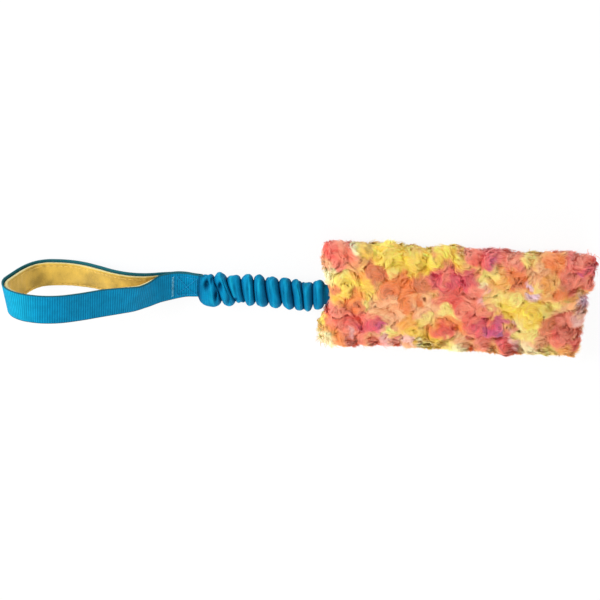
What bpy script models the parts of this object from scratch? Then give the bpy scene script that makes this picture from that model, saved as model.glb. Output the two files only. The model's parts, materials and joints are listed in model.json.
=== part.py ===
"""Bungee tug toy: a lined hand loop, a gathered sleeve over flat elastic, and a stuffed fur pad.

Run with: blender --background --python part.py. Lengths are in metres, +Z is up. The toy lies along X with the
hand loop at -X and the pad at +X. It rests on the pad and on the lower run of the loop.
"""

import math

import bmesh
import bpy
from mathutils import Vector

# Clearances and thread
seat_gap = 0.0003
running_gap = 0.0003
thread_width = 0.0006
cut_overrun = 0.004

# Flat webbing and its fleece lining
webbing_width = 0.025
webbing_thickness = 0.0016
lining_width = 0.0215
lining_thickness = 0.0028
lining_edge_bevel = 0.0009
lining_stitch_inset = 0.0022
strap_step = 0.006

# Hand loop and the neck where its two tails lie on each other
loop_length = 0.1275
loop_height = 0.0655
neck_length = 0.0305
neck_dip = 0.0032
lining_stop = 0.0075

# Box of stitches on the neck
box_stitch_length = 0.0165
box_stitch_width = 0.018
box_stitch_inset = 0.004
bar_tack_offset = 0.0035

# Elastic, and the narrow tape of the tabs that hold its ends and of the strap through the pad
elastic_width = 0.014
elastic_thickness = 0.003
tape_width = 0.015
tab_length = 0.014
tab_tack_share = 0.6
hinge_room = 0.0018
nose_room = 0.0022

# Gathered sleeve
sleeve_shown = 0.1005
sleeve_hidden = 0.0118
sleeve_wall = 0.0009
bore_room = 0.0013
fold_depth_across = 0.0026
fold_depth_up = 0.003
cuff_room = 0.0016
lip_room = 0.0007
lip_length = 0.003
fold_slant = 0.0042
fold_count = 10
slanted_folds = 5
fold_swell_share = 0.05
fold_ring_shares = (0.0, 0.14, 0.34, 0.56, 0.80)

# Pad
pad_length = 0.2165
pad_width = 0.092
pad_thickness = 0.030
pad_wall = 0.0065
pad_end_slant = 0.0055
pad_side_draw = 0.0022
pad_end_draw = 0.0016
pad_flat_depth = 0.0005
edge_height_share = 0.62
edge_tuck_share = 0.09
end_crowding_share = 0.6
side_crowding_share = 0.7
mouth_room = 0.0005
seam_inset = 0.0014
bungee_offset = -0.002
pad_hinge_room = 0.005
core_end_room = 0.0075

# Curls of the upper panel's fur. Each pair is the middle of a main curl: a share of pad_length from the pad's
# front, and a share of pad_width from its middle.
curl_rise = 0.0026
curl_radius = 0.0115
curl_shares = (
    (0.04, 0.37), (0.13, 0.46), (0.26, 0.34), (0.34, 0.47), (0.42, 0.45), (0.54, 0.46),
    (0.62, 0.41), (0.73, 0.43), (0.82, 0.45), (0.91, 0.30), (0.97, 0.42), (0.09, 0.15),
    (0.18, 0.25), (0.13, -0.04), (0.24, 0.09), (0.32, 0.03), (0.38, 0.22), (0.46, 0.21),
    (0.45, 0.02), (0.38, -0.11), (0.59, 0.22), (0.67, 0.30), (0.81, 0.25), (0.72, 0.10),
    (0.78, -0.04), (0.92, 0.11), (0.53, -0.03), (0.87, -0.15), (0.98, -0.07), (0.02, -0.29),
    (0.10, -0.26), (0.21, -0.21), (0.26, -0.37), (0.35, -0.25), (0.45, -0.26), (0.18, -0.40),
    (0.10, -0.45), (0.36, -0.45), (0.58, -0.18), (0.66, -0.18), (0.53, -0.40), (0.62, -0.38),
    (0.70, -0.39), (0.81, -0.35), (0.90, -0.30), (0.98, -0.33),
)

# The loop seen from the side, from the lower tail round the tip to the upper tail. Each pair is a share of
# loop_length away from the neck and a share of loop_height above the floor, on the strap's outer face.
loop_shares = (
    (0.00, 0.206), (0.11, 0.262), (0.20, 0.266), (0.29, 0.220), (0.384, 0.134),
    (0.483, 0.052), (0.573, 0.010), (0.659, 0.000), (0.745, 0.018), (0.820, 0.084),
    (0.886, 0.212), (0.952, 0.420), (0.996, 0.600), (0.992, 0.745), (0.952, 0.862),
    (0.880, 0.948), (0.800, 0.988), (0.715, 1.000), (0.612, 0.971), (0.486, 0.880),
    (0.345, 0.748), (0.225, 0.640), (0.140, 0.560), (0.068, 0.440), (0.00, 0.306),
)
neck_shares = (0.0, 0.2, 0.4, 0.6, 0.78)

# Places along X that follow from the sizes
box_length = loop_length + neck_length + sleeve_shown + pad_length + pad_end_slant
loop_tip_x = -box_length / 2
neck_start_x = loop_tip_x + loop_length
mouth_x = neck_start_x + neck_length
pad_front_x = mouth_x + sleeve_shown
pad_end_x = pad_front_x + pad_length
sleeve_end_x = pad_front_x + sleeve_hidden
tails_thickness = 2 * webbing_thickness + seat_gap
tab_half_height = elastic_thickness / 2 + seat_gap + webbing_thickness
bore_half_width = tape_width / 2 + seat_gap + thread_width + bore_room
bore_half_height = tab_half_height + seat_gap + thread_width + bore_room
valley_half_width = bore_half_width + sleeve_wall
valley_half_height = bore_half_height + sleeve_wall
crest_half_width = valley_half_width + fold_depth_across
crest_half_height = valley_half_height + fold_depth_up
cuff_half_width = valley_half_width + cuff_room
cuff_half_height = valley_half_height + cuff_room
tail_end_x = mouth_x + lip_length - running_gap
handle_hinge_x = tail_end_x + hinge_room
front_tab_x = handle_hinge_x + nose_room
pad_hinge_x = pad_front_x - pad_hinge_room
rear_tab_x = pad_hinge_x - nose_room
core_start_x = pad_hinge_x + nose_room
bungee_z = pad_thickness / 2
bungee_y = bungee_offset


def clear_scene():
    for obj in list(bpy.data.objects):
        bpy.data.objects.remove(obj, do_unlink=True)


def new_collection(name, shown):
    made = bpy.data.collections.new(name)
    bpy.context.scene.collection.children.link(made)
    made.hide_render = not shown
    return made


def new_material(name, colour, roughness):
    made = bpy.data.materials.new(name)
    made.use_nodes = True
    shader = made.node_tree.nodes["Principled BSDF"]
    shader.inputs["Base Color"].default_value = (*colour, 1.0)
    shader.inputs["Roughness"].default_value = roughness
    shader.inputs["Metallic"].default_value = 0.0
    made.diffuse_color = (*colour, 1.0)
    return made


clear_scene()
toy = new_collection("bungee_tug_toy", True)
cutters = new_collection("cutters", False)

blue_webbing = new_material("blue_webbing", (0.006, 0.235, 0.475), 0.55)
gold_fleece = new_material("gold_fleece", (0.690, 0.440, 0.120), 0.9)
blue_thread = new_material("blue_thread", (0.010, 0.280, 0.520), 0.6)
gold_thread = new_material("gold_thread", (0.690, 0.450, 0.110), 0.6)
pale_elastic = new_material("pale_elastic", (0.700, 0.690, 0.650), 0.7)
dyed_fur = new_material("dyed_fur", (0.850, 0.330, 0.130), 0.95)
under_fur = new_material("under_fur", (0.830, 0.400, 0.180), 0.95)
white_wadding = new_material("white_wadding", (0.800, 0.790, 0.760), 0.95)
seam_thread = new_material("seam_thread", (0.780, 0.600, 0.400), 0.7)


def body_empty(name, x, y, z):
    """An empty on a joint's axis. The body's pieces are its children."""
    made = bpy.data.objects.new(name, None)
    made.location = (x, y, z)
    made.empty_display_size = webbing_width
    toy.objects.link(made)
    bpy.context.view_layer.update()
    return made


pad_body = body_empty("pad_body", 0.0, 0.0, 0.0)
rear_body = body_empty("rear_hinge", pad_hinge_x, bungee_y, bungee_z)
elastic_body = body_empty("twist_axis", pad_hinge_x, bungee_y, bungee_z)
front_body = body_empty("stretch_axis", handle_hinge_x, bungee_y, bungee_z)
handle_body = body_empty("handle_hinge", handle_hinge_x, bungee_y, bungee_z)


def place(obj, material, body):
    """Gives a finished piece its material and hangs it on its body where it stands."""
    if obj.name not in toy.objects:
        toy.objects.link(obj)
    obj.data.materials.clear()
    obj.data.materials.append(material)
    obj.parent = body
    obj.matrix_parent_inverse = body.matrix_world.inverted()
    return obj


def mesh_object(name, bm):
    bmesh.ops.recalc_face_normals(bm, faces=bm.faces)
    mesh = bpy.data.meshes.new(name)
    bm.to_mesh(mesh)
    bm.free()
    mesh.shade_smooth()
    mesh.set_sharp_from_angle(angle=math.radians(40))
    return bpy.data.objects.new(name, mesh)


def spline_through(points, pieces=8):
    """A smooth line through the points, cut into short pieces (a centripetal Catmull-Rom curve)."""
    ends = [points[0] * 2 - points[1], *points, points[-1] * 2 - points[-2]]
    line = []
    for a, b, c, d in zip(ends, ends[1:], ends[2:], ends[3:]):
        t1 = (b - a).length ** 0.5
        t2 = t1 + (c - b).length ** 0.5
        t3 = t2 + (d - c).length ** 0.5
        for step in range(pieces):
            t = t1 + (t2 - t1) * step / pieces
            ab = a.lerp(b, t / t1)
            bc = b.lerp(c, (t - t1) / (t2 - t1))
            cd = c.lerp(d, (t - t2) / (t3 - t2))
            abc = ab.lerp(bc, t / t2)
            bcd = bc.lerp(cd, (t - t1) / (t3 - t1))
            line.append(abc.lerp(bcd, (t - t1) / (t2 - t1)))
    line.append(points[-1])
    return line


def even_steps(line, step):
    """The same line with points at equal steps along it."""
    lengths = [0.0]
    for a, b in zip(line, line[1:]):
        lengths.append(lengths[-1] + (b - a).length)
    count = max(2, round(lengths[-1] / step))
    found = []
    at = 0
    for k in range(count + 1):
        want = lengths[-1] * k / count
        while at < len(line) - 2 and lengths[at + 1] < want:
            at += 1
        span = lengths[at + 1] - lengths[at]
        found.append(line[at].lerp(line[at + 1], (want - lengths[at]) / span))
    return found


def inward_of(line):
    """Unit normals to the right of a line in the XZ plane. On the loop they point into it."""
    normals = []
    for k in range(len(line)):
        along = (line[min(k + 1, len(line) - 1)] - line[max(k - 1, 0)]).normalized()
        normals.append(Vector((along.z, 0.0, -along.x)))
    return normals


def offset_line(line, distance):
    return [point + normal * distance for point, normal in zip(line, inward_of(line))]


def ribbon(name, line, width, thickness, material, body, edge_bevel=0.0):
    """A flat strip whose middle follows a line in the XZ plane: an extruded edge with a Solidify."""
    bm = bmesh.new()
    start = line[0] + Vector((0.0, bungee_y, 0.0))
    side = Vector((0.0, width / 2, 0.0))
    ends = [bm.verts.new(start - side), bm.verts.new(start + side)]
    edge = bm.edges.new(ends)
    for before, after in zip(line, line[1:]):
        grown = bmesh.ops.extrude_edge_only(bm, edges=[edge])["geom"]
        moved = [v for v in grown if isinstance(v, bmesh.types.BMVert)]
        edge = next(e for e in grown if isinstance(e, bmesh.types.BMEdge))
        bmesh.ops.translate(bm, verts=moved, vec=after - before)
    obj = mesh_object(name, bm)
    shell = obj.modifiers.new("Solidify", "SOLIDIFY")
    shell.thickness = thickness
    shell.offset = 0.0
    shell.use_even_offset = True
    if edge_bevel:
        rounding = obj.modifiers.new("Bevel", "BEVEL")
        rounding.width = edge_bevel
        rounding.segments = 1
        rounding.limit_method = "ANGLE"
        rounding.angle_limit = math.radians(50)
    return place(obj, material, body)


def tube(name, points, radius, material, body, closed=False, resolution=1):
    """A round tube along points, with filled caps unless it closes on itself."""
    data = bpy.data.curves.new(name, "CURVE")
    data.dimensions = "3D"
    data.bevel_depth = radius
    data.bevel_resolution = resolution
    data.use_fill_caps = not closed
    spline = data.splines.new("POLY")
    spline.points.add(len(points) - 1)
    for target, point in zip(spline.points, points):
        target.co = (*point, 1.0)
    spline.use_cyclic_u = closed
    return place(bpy.data.objects.new(name, data), material, body)


def section_ring(x, half_width, half_height, power, sides, slant=0.0):
    """Points of one cross-section of the sleeve: a superellipse, leaning along X by slant."""
    ring = []
    for k in range(sides):
        angle = 2 * math.pi * (k + 0.5) / sides
        across = math.copysign(abs(math.cos(angle)) ** (2 / power), math.cos(angle))
        up = math.copysign(abs(math.sin(angle)) ** (2 / power), math.sin(angle))
        ring.append(Vector((x - slant * across, bungee_y + half_width * across, bungee_z + half_height * up)))
    return ring


def skin_rings(bm, rings):
    """Joins a list of like rings by quads and gives back the vertices of each ring."""
    made = [[bm.verts.new(point) for point in ring] for ring in rings]
    for first, second in zip(made, made[1:]):
        sides = len(first)
        for k in range(sides):
            bm.faces.new((first[k], first[(k + 1) % sides], second[(k + 1) % sides], second[k]))
    return made


# Hand loop


def neck_height(share):
    """Height of the neck's middle: it sags between the sleeve's mouth and the loop."""
    return bungee_z - neck_dip * math.sin(math.pi * share) ** 2


def outer_line():
    """The strap's outer face from the lower tail's end, round the loop, to the upper tail's end."""
    reach = tail_end_x - neck_start_x
    lower = [
        Vector((tail_end_x - share * reach, 0.0, neck_height(share) - tails_thickness / 2))
        for share in neck_shares
    ]
    upper = [point + Vector((0.0, 0.0, tails_thickness)) for point in reversed(lower)]
    loop = [
        Vector((neck_start_x - away * loop_length, 0.0, up * loop_height))
        for away, up in loop_shares
    ]
    return even_steps(spline_through(lower + loop + upper), strap_step / 4)


def lined_part(line):
    """The stretch of the outer line that carries lining: from where the two runs have parted."""
    first_x = neck_start_x - lining_stop
    inside = [k for k, point in enumerate(line) if point.x < first_x]
    return line[inside[0]:inside[-1] + 1]


strap_line = outer_line()
lined_line = lined_part(strap_line)


def handle_webbing():
    middle = even_steps(offset_line(strap_line, webbing_thickness / 2), strap_step)
    return ribbon("handle_webbing", middle, webbing_width, webbing_thickness, blue_webbing, handle_body)


def handle_lining():
    depth = webbing_thickness + seat_gap + lining_thickness / 2
    middle = even_steps(offset_line(lined_line, depth), strap_step)
    return ribbon(
        "handle_lining", middle, lining_width, lining_thickness, gold_fleece, handle_body, lining_edge_bevel
    )


def lining_stitches():
    """Two rows of thread on the lining, near its edges."""
    depth = webbing_thickness + 2 * seat_gap + lining_thickness + thread_width / 2
    row = even_steps(offset_line(lined_line, depth)[2:-2], strap_step)
    inset = lining_width / 2 - lining_stitch_inset
    for name, side in (("lining_stitch_left", inset), ("lining_stitch_right", -inset)):
        points = [point + Vector((0.0, bungee_y + side, 0.0)) for point in row]
        tube(name, points, thread_width / 2, gold_thread, handle_body)


def neck_surface(x, above):
    """A point's height over the neck's outer face at x. Above is True on the upper face."""
    share = (tail_end_x - x) / (tail_end_x - neck_start_x)
    reach = tails_thickness / 2 + seat_gap + thread_width / 2
    return neck_height(share) + (reach if above else -reach)


def stitch_net(name, ends, above, pieces=2):
    """Straight rows of thread between the named ends, joined where they meet, by a Skin."""
    bm = bmesh.new()
    corners = {}

    def corner(x, y):
        key = (round(x / seat_gap), round(y / seat_gap))
        if key not in corners:
            corners[key] = bm.verts.new((x, bungee_y + y, neck_surface(x, above)))
        return corners[key]

    for (x1, y1), (x2, y2) in ends:
        row = [corner(x1, y1)]
        for k in range(1, pieces):
            x = x1 + (x2 - x1) * k / pieces
            y = y1 + (y2 - y1) * k / pieces
            row.append(bm.verts.new((x, bungee_y + y, neck_surface(x, above))))
        row.append(corner(x2, y2))
        for a, b in zip(row, row[1:]):
            bm.edges.new((a, b))
    mesh = bpy.data.meshes.new(name)
    bm.to_mesh(mesh)
    bm.free()
    obj = bpy.data.objects.new(name, mesh)
    skin = obj.modifiers.new("Skin", "SKIN")
    skin.use_smooth_shade = True
    if not mesh.skin_vertices:
        mesh.attributes.new("skin_layer", "FLOAT", "POINT")
    for vertex in mesh.skin_vertices[0].data:
        vertex.radius = (thread_width / 2, thread_width / 2)
    mesh.skin_vertices[0].data[0].use_root = True
    return place(obj, blue_thread, handle_body)


def neck_stitches():
    """The needle thread's box and cross on the upper face and the bobbin thread's on the lower face."""
    right = tail_end_x - box_stitch_inset
    left = right - box_stitch_length
    half = box_stitch_width / 2
    middle = (left + right) / 2
    box = (
        ((left, -half), (left, half)),
        ((left, half), (right, half)),
        ((right, half), (right, -half)),
        ((right, -half), (left, -half)),
        ((left, -half), (middle, 0.0)),
        ((middle, 0.0), (right, half)),
        ((left, half), (middle, 0.0)),
        ((middle, 0.0), (right, -half)),
    )
    stitch_net("neck_box_needle_thread", box, True)
    stitch_net("neck_box_bobbin_thread", box, False)
    bar_x = left - bar_tack_offset
    for name, above in (("neck_bar_tack_upper", True), ("neck_bar_tack_lower", False)):
        points = [(bar_x, bungee_y + side, neck_surface(bar_x, above)) for side in (-half, 0.0, half)]
        tube(name, points, thread_width / 2, blue_thread, handle_body)


# Elastic and its tabs


def folded_tab(name, nose_x, direction, body):
    """A webbing tab folded in two round the elastic's end: its nose at nose_x, its legs along direction."""
    inner = elastic_thickness / 2 + seat_gap
    radius = inner + webbing_thickness / 2
    bend = [
        Vector((
            nose_x + direction * (radius + webbing_thickness / 2 - radius * math.cos(angle)),
            0.0,
            bungee_z + radius * math.sin(angle),
        ))
        for angle in (math.pi / 2 * k / 4 for k in range(-4, 5))
    ]
    leg_end = nose_x + direction * tab_length
    lower = Vector((leg_end, 0.0, bungee_z - radius))
    upper = Vector((leg_end, 0.0, bungee_z + radius))
    return ribbon(name, [lower, *bend, upper], tape_width, webbing_thickness, blue_webbing, body)


def thread_ring(name, x, half_width, half_height, power, body, material, sides=24):
    """A turn of thread round a flat piece, seated just clear of it."""
    clear = seat_gap + thread_width / 2
    points = section_ring(x, half_width + clear, half_height + clear, power, sides)
    return tube(name, points, thread_width / 2, material, body, closed=True, resolution=0)


def elastic_and_tabs():
    folded_tab("front_anchor_tab", front_tab_x, 1, front_body)
    folded_tab("rear_anchor_tab", rear_tab_x, -1, rear_body)
    front_tack_x = front_tab_x + tab_length * tab_tack_share
    rear_tack_x = rear_tab_x - tab_length * tab_tack_share
    corner_room = webbing_thickness / 2
    for name, x, body in (
        ("elastic_front_tack", front_tack_x, front_body),
        ("elastic_rear_tack", rear_tack_x, rear_body),
    ):
        points = [
            Vector((x, bungee_y + side * y, bungee_z + up * z))
            for side, up, y, z in tack_corners(tape_width / 2, tab_half_height, corner_room)
        ]
        tube(name, points, thread_width / 2, blue_thread, body, closed=True)
    nose = webbing_thickness + seat_gap + webbing_thickness
    start = Vector((front_tab_x + nose, 0.0, bungee_z))
    end = Vector((rear_tab_x - nose, 0.0, bungee_z))
    ribbon(
        "bungee_elastic", even_steps([start, end], 2 * strap_step), elastic_width, elastic_thickness,
        pale_elastic, elastic_body,
    )


def tack_corners(half_width, half_height, corner):
    """Corners of a rounded turn of thread round a rectangle, as signs and distances."""
    y = half_width + seat_gap + thread_width / 2
    z = half_height + seat_gap + thread_width / 2
    return (
        (1, 1, y - corner, z), (1, 1, y, z - corner), (1, -1, y, z - corner), (1, -1, y - corner, z),
        (-1, -1, y - corner, z), (-1, -1, y, z - corner), (-1, 1, y, z - corner), (-1, 1, y - corner, z),
    )


# Gathered sleeve


def sleeve_outside():
    """Rings of the sleeve's outside: the lip round the strap, the folds, and the plain cuff in the pad."""
    lip_width = webbing_width / 2 + lip_room + sleeve_wall
    lip_height = tails_thickness / 2 + lip_room + sleeve_wall
    rings = [(mouth_x, lip_width, lip_height, 6.0, 0.0)]
    folds_end_x = pad_front_x + pad_end_draw
    pitch = (folds_end_x - mouth_x - lip_length) / fold_count
    for fold in range(fold_count):
        start = mouth_x + lip_length + fold * pitch
        lean = math.sin(math.pi * (fold + 0.7) / (slanted_folds + 1)) if fold < slanted_folds else 0.0
        slant = fold_slant * lean
        swell = 1.0 + fold_swell_share * math.sin(2.3 * fold + 0.6)
        first_valley_height = lip_height if fold == 0 else valley_half_height
        first_valley_width = lip_width if fold == 0 else valley_half_width
        for along in fold_ring_shares:
            rise = math.sin(math.pi * along) ** 0.6
            low_width = first_valley_width if along < 0.2 else valley_half_width
            low_height = first_valley_height if along < 0.2 else valley_half_height
            width = low_width + (crest_half_width * swell - low_width) * rise
            height = low_height + (crest_half_height * swell - low_height) * rise
            rings.append((start + along * pitch, width, height, 2.2 if rise else 2.6, slant))
    rings.append((folds_end_x, valley_half_width, valley_half_height, 2.4, 0.0))
    rings.append((folds_end_x + sleeve_wall, cuff_half_width, cuff_half_height, 2.4, 0.0))
    rings.append((sleeve_end_x, cuff_half_width, cuff_half_height, 2.4, 0.0))
    return rings


def sleeve_bore():
    """Rings of the bore, from the pad end back to the lip: a plain tube that opens to take the tails."""
    lip_width = webbing_width / 2 + lip_room
    lip_height = tails_thickness / 2 + lip_room
    turn_x = tail_end_x + running_gap
    return [
        (sleeve_end_x, bore_half_width, bore_half_height, 3.0, 0.0),
        ((sleeve_end_x + turn_x) / 2, bore_half_width, bore_half_height, 3.0, 0.0),
        (turn_x + 2 * lip_room, bore_half_width, bore_half_height, 3.0, 0.0),
        (turn_x, lip_width, lip_height, 8.0, 0.0),
        (mouth_x, lip_width, lip_height, 8.0, 0.0),
    ]


def bungee_sleeve():
    sides = 24
    bm = bmesh.new()
    outside = [section_ring(x, w, h, p, sides, s) for x, w, h, p, s in sleeve_outside()]
    bore = [section_ring(x, w, h, p, sides, s) for x, w, h, p, s in sleeve_bore()]
    made = skin_rings(bm, outside + bore)
    for k in range(sides):
        after = (k + 1) % sides
        bm.faces.new((made[-1][k], made[-1][after], made[0][after], made[0][k]))
    return place(mesh_object("bungee_sleeve", bm), blue_webbing, front_body)


def sleeve_tack():
    """The turn of thread that holds the sleeve's rear end in the pad."""
    thread_ring(
        "sleeve_rear_tack", sleeve_end_x - 2 * thread_width, cuff_half_width, cuff_half_height, 2.4,
        pad_body, blue_thread,
    )


# Pad


def crowded(at, share):
    """A place from -1 to 1, moved towards its end, so that the cuts lie closer there."""
    return math.sin(at * math.pi / 2) * share + at * (1.0 - share)


def curl_dip(x, y):
    """How far the fur lies under its crown: not at all in a curl's middle, and by curl_rise between the curls."""
    away = min(
        math.hypot(x - pad_front_x - along * pad_length, y - across * pad_width)
        for along, across in curl_shares
    )
    return curl_rise * min(1.0, away / curl_radius) ** 2


def pillow(name, inset, along_cuts, across_cuts, up_cuts, curled=False):
    """A stuffed rectangle, smaller than the pad's outside by inset: crowned, with its sides drawn in.

    Curled gives its upper side the curls of the fur."""
    half_length = pad_length / 2 - inset
    half_width = pad_width / 2 - inset
    half_height = pad_thickness / 2 - inset + pad_flat_depth
    middle_x = (pad_front_x + pad_end_x) / 2
    bm = bmesh.new()
    bmesh.ops.create_cube(bm, size=2.0)
    for axis, cuts in ((0, along_cuts), (1, across_cuts), (2, up_cuts)):
        lines = [e for e in bm.edges if abs(e.verts[0].co[axis] - e.verts[1].co[axis]) > 1.0]
        bmesh.ops.subdivide_edges(bm, edges=lines, cuts=cuts, use_grid_fill=True)
    for vertex in bm.verts:
        u, v, w = vertex.co
        u = crowded(u, end_crowding_share)
        v = crowded(v, side_crowding_share)
        crown = ((1.0 - abs(u) ** 9) * (1.0 - abs(v) ** 5)) ** 0.5
        edge = max(abs(u), abs(v))
        tuck = 1.0 - edge_tuck_share * (abs(w) * edge) ** 3
        side = half_width - pad_side_draw * (1.0 - u * u)
        end = half_length - pad_end_draw * (1.0 - v * v)
        vertex.co.x = middle_x + u * end * tuck + pad_end_slant * v * (1.0 + u) / 2
        vertex.co.y = v * side * tuck
        vertex.co.z = bungee_z + half_height * w * max(crown, edge_height_share)
        if curled and w > 0.0:
            vertex.co.z -= crown * curl_dip(vertex.co.x, vertex.co.y)
    bmesh.ops.triangulate(bm, faces=bm.faces, quad_method="FIXED")
    return mesh_object(name, bm)


def as_cutter(obj):
    cutters.objects.link(obj)
    obj.hide_render = True
    obj.display_type = "WIRE"
    return obj


def box_cutter(name, low, high):
    bm = bmesh.new()
    bmesh.ops.create_cube(bm, size=1.0)
    for vertex in bm.verts:
        for axis in range(3):
            vertex.co[axis] = low[axis] if vertex.co[axis] < 0 else high[axis]
    return as_cutter(mesh_object(name, bm))


def sleeve_cutter(name, room, start_x, end_x, sides=24):
    """The cuff's outline, larger by room, from start_x to end_x."""
    bm = bmesh.new()
    rings = [
        section_ring(x, cuff_half_width + room, cuff_half_height + room, 2.4, sides)
        for x in (start_x, end_x)
    ]
    made = skin_rings(bm, rings)
    bm.faces.new(made[0])
    bm.faces.new(made[1])
    return as_cutter(mesh_object(name, bm))


def cut(obj, *tools, keep=False):
    """Takes the tools away from a piece, or keeps only what lies inside them."""
    for tool in tools:
        boolean = obj.modifiers.new("Cut", "BOOLEAN")
        boolean.operation = "INTERSECT" if keep else "DIFFERENCE"
        boolean.solver = "EXACT"
        boolean.object = tool
    return obj


def pad():
    reach = Vector((pad_length, pad_width, pad_thickness))
    middle = Vector(((pad_front_x + pad_end_x) / 2, 0.0, bungee_z))
    low = middle - reach
    high = middle + reach
    half_gap = seat_gap / 2
    layer_gap = webbing_thickness / 2 + 2 * seat_gap + thread_width
    above_floor = box_cutter("above_floor", (low.x, low.y, 0.0), high)
    upper_half = box_cutter("upper_half", (low.x, low.y, bungee_z + half_gap), high)
    lower_half = box_cutter("lower_half", low, (high.x, high.y, bungee_z - half_gap))
    upper_layer = box_cutter("upper_layer", (low.x, low.y, bungee_z + layer_gap), high)
    lower_layer = box_cutter("lower_layer", low, (high.x, high.y, bungee_z - layer_gap))
    wall_x = pad_front_x + pad_wall
    ring_room = 2 * seat_gap + thread_width + mouth_room
    mouth = sleeve_cutter("mouth", mouth_room, pad_front_x - pad_hinge_room, wall_x + cut_overrun)
    cuff_space = sleeve_cutter("cuff_space", ring_room, wall_x, sleeve_end_x + ring_room)
    cavity = as_cutter(pillow("cavity", pad_wall, 12, 6, 2))
    for name, half, material, along_cuts, across_cuts, curled in (
        ("fur_panel_top", upper_half, dyed_fur, 32, 14, True),
        ("fur_panel_bottom", lower_half, under_fur, 16, 10, False),
    ):
        panel = pillow(name, 0.0, along_cuts, across_cuts, 3, curled)
        cut(panel, cavity, mouth, cuff_space)
        cut(panel, half, above_floor, keep=True)
        place(panel, material, pad_body)
    for name, layer in (("pad_filling_top", upper_layer), ("pad_filling_bottom", lower_layer)):
        filling = pillow(name, pad_wall + seat_gap, 12, 6, 2)
        cut(filling, cuff_space)
        cut(filling, layer, keep=True)
        place(filling, white_wadding, pad_body)


def pad_outline(inset, u, v):
    """A point of the pad's outline in the seam's plane, as the pillow has it, at shares u and v."""
    half_length = pad_length / 2 - inset
    half_width = pad_width / 2 - inset
    middle_x = (pad_front_x + pad_end_x) / 2
    side = half_width - pad_side_draw * (1.0 - u * u)
    end = half_length - pad_end_draw * (1.0 - v * v)
    return Vector((middle_x + u * end + pad_end_slant * v * (1.0 + u) / 2, v * side, bungee_z))


def pad_seams():
    """The thread of the closed sides, run just inside the cavity, and the two stretches beside the mouth."""
    inset = pad_wall + seam_inset
    corner = 1.0 - 3 * thread_width / pad_width * 2
    steps = [-1.0 + 2.0 * k / 12 for k in range(13)]
    sides = (
        ("pad_seam_left", [pad_outline(inset, corner * u, 1.0) for u in steps]),
        ("pad_seam_right", [pad_outline(inset, corner * u, -1.0) for u in steps]),
        ("pad_seam_end", [pad_outline(inset, 1.0, corner * v) for v in steps[::2]]),
    )
    for name, points in sides:
        tube(name, points, thread_width / 2, seam_thread, pad_body)
    mouth_side = cuff_half_width + mouth_room + 2 * seat_gap + 2 * thread_width
    half_width = pad_width / 2 - inset
    for name, side in (("mouth_stitch_left", 1.0), ("mouth_stitch_right", -1.0)):
        inner = (side * mouth_side + bungee_y) / half_width
        stops = [inner + (side * corner - inner) * k / 4 for k in range(5)]
        points = [pad_outline(inset, -1.0, v) for v in stops]
        tube(name, points, thread_width / 2, seam_thread, pad_body)


def pad_core():
    """The webbing through the pad's middle, and the turn of thread at its far end."""
    end_x = pad_end_x - pad_wall - core_end_room
    line = even_steps(
        [Vector((core_start_x, 0.0, bungee_z)), Vector((end_x, 0.0, bungee_z))], 4 * strap_step
    )
    ribbon("pad_core_strap", line, tape_width, webbing_thickness, blue_webbing, pad_body)
    tack_x = end_x - tape_width / 3
    points = [
        Vector((tack_x, bungee_y + side * y, bungee_z + up * z))
        for side, up, y, z in tack_corners(tape_width / 2, webbing_thickness / 2, thread_width)
    ]
    tube("core_far_tack", points, thread_width / 2, blue_thread, pad_body, closed=True)


handle_webbing()
handle_lining()
lining_stitches()
neck_stitches()
elastic_and_tabs()
bungee_sleeve()
sleeve_tack()
pad()
pad_seams()
pad_core()
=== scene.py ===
"""The looks of a bungee tug toy: a lined hand loop, a gathered sleeve and a stuffed pad of dyed curly fur."""

import json
import math

import bmesh
import bpy
import numpy as np
from bpy.props import FloatProperty, FloatVectorProperty, IntProperty, PointerProperty
from mathutils import Matrix, Vector


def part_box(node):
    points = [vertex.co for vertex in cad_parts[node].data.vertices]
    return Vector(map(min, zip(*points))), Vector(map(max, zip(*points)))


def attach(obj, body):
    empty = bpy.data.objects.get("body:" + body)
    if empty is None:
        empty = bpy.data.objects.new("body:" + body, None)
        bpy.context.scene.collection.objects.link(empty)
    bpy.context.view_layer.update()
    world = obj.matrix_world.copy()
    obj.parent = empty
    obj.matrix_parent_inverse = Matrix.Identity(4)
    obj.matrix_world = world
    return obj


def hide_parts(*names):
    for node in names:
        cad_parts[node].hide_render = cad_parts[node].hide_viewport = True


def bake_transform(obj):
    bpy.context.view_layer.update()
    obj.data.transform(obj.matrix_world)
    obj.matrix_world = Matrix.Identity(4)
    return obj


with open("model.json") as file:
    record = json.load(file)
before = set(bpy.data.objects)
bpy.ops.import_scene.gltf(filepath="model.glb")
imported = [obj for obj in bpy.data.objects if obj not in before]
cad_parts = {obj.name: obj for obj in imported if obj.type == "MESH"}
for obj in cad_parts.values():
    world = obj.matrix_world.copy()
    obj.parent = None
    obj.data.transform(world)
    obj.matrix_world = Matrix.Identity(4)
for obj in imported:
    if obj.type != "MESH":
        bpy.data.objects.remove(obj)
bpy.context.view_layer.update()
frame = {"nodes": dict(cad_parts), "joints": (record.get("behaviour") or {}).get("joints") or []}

bl_info = {
    "name": "Bungee Tug Toy",
    "version": (1, 0, 0),
    "blender": (4, 5, 0),
    "location": "3D View > Sidebar > Tug Toy",
    "description": "Makes the strap, sleeve, stitching and fur pad of a bungee tug toy",
    "category": "Object",
}

MM = 0.001

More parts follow.
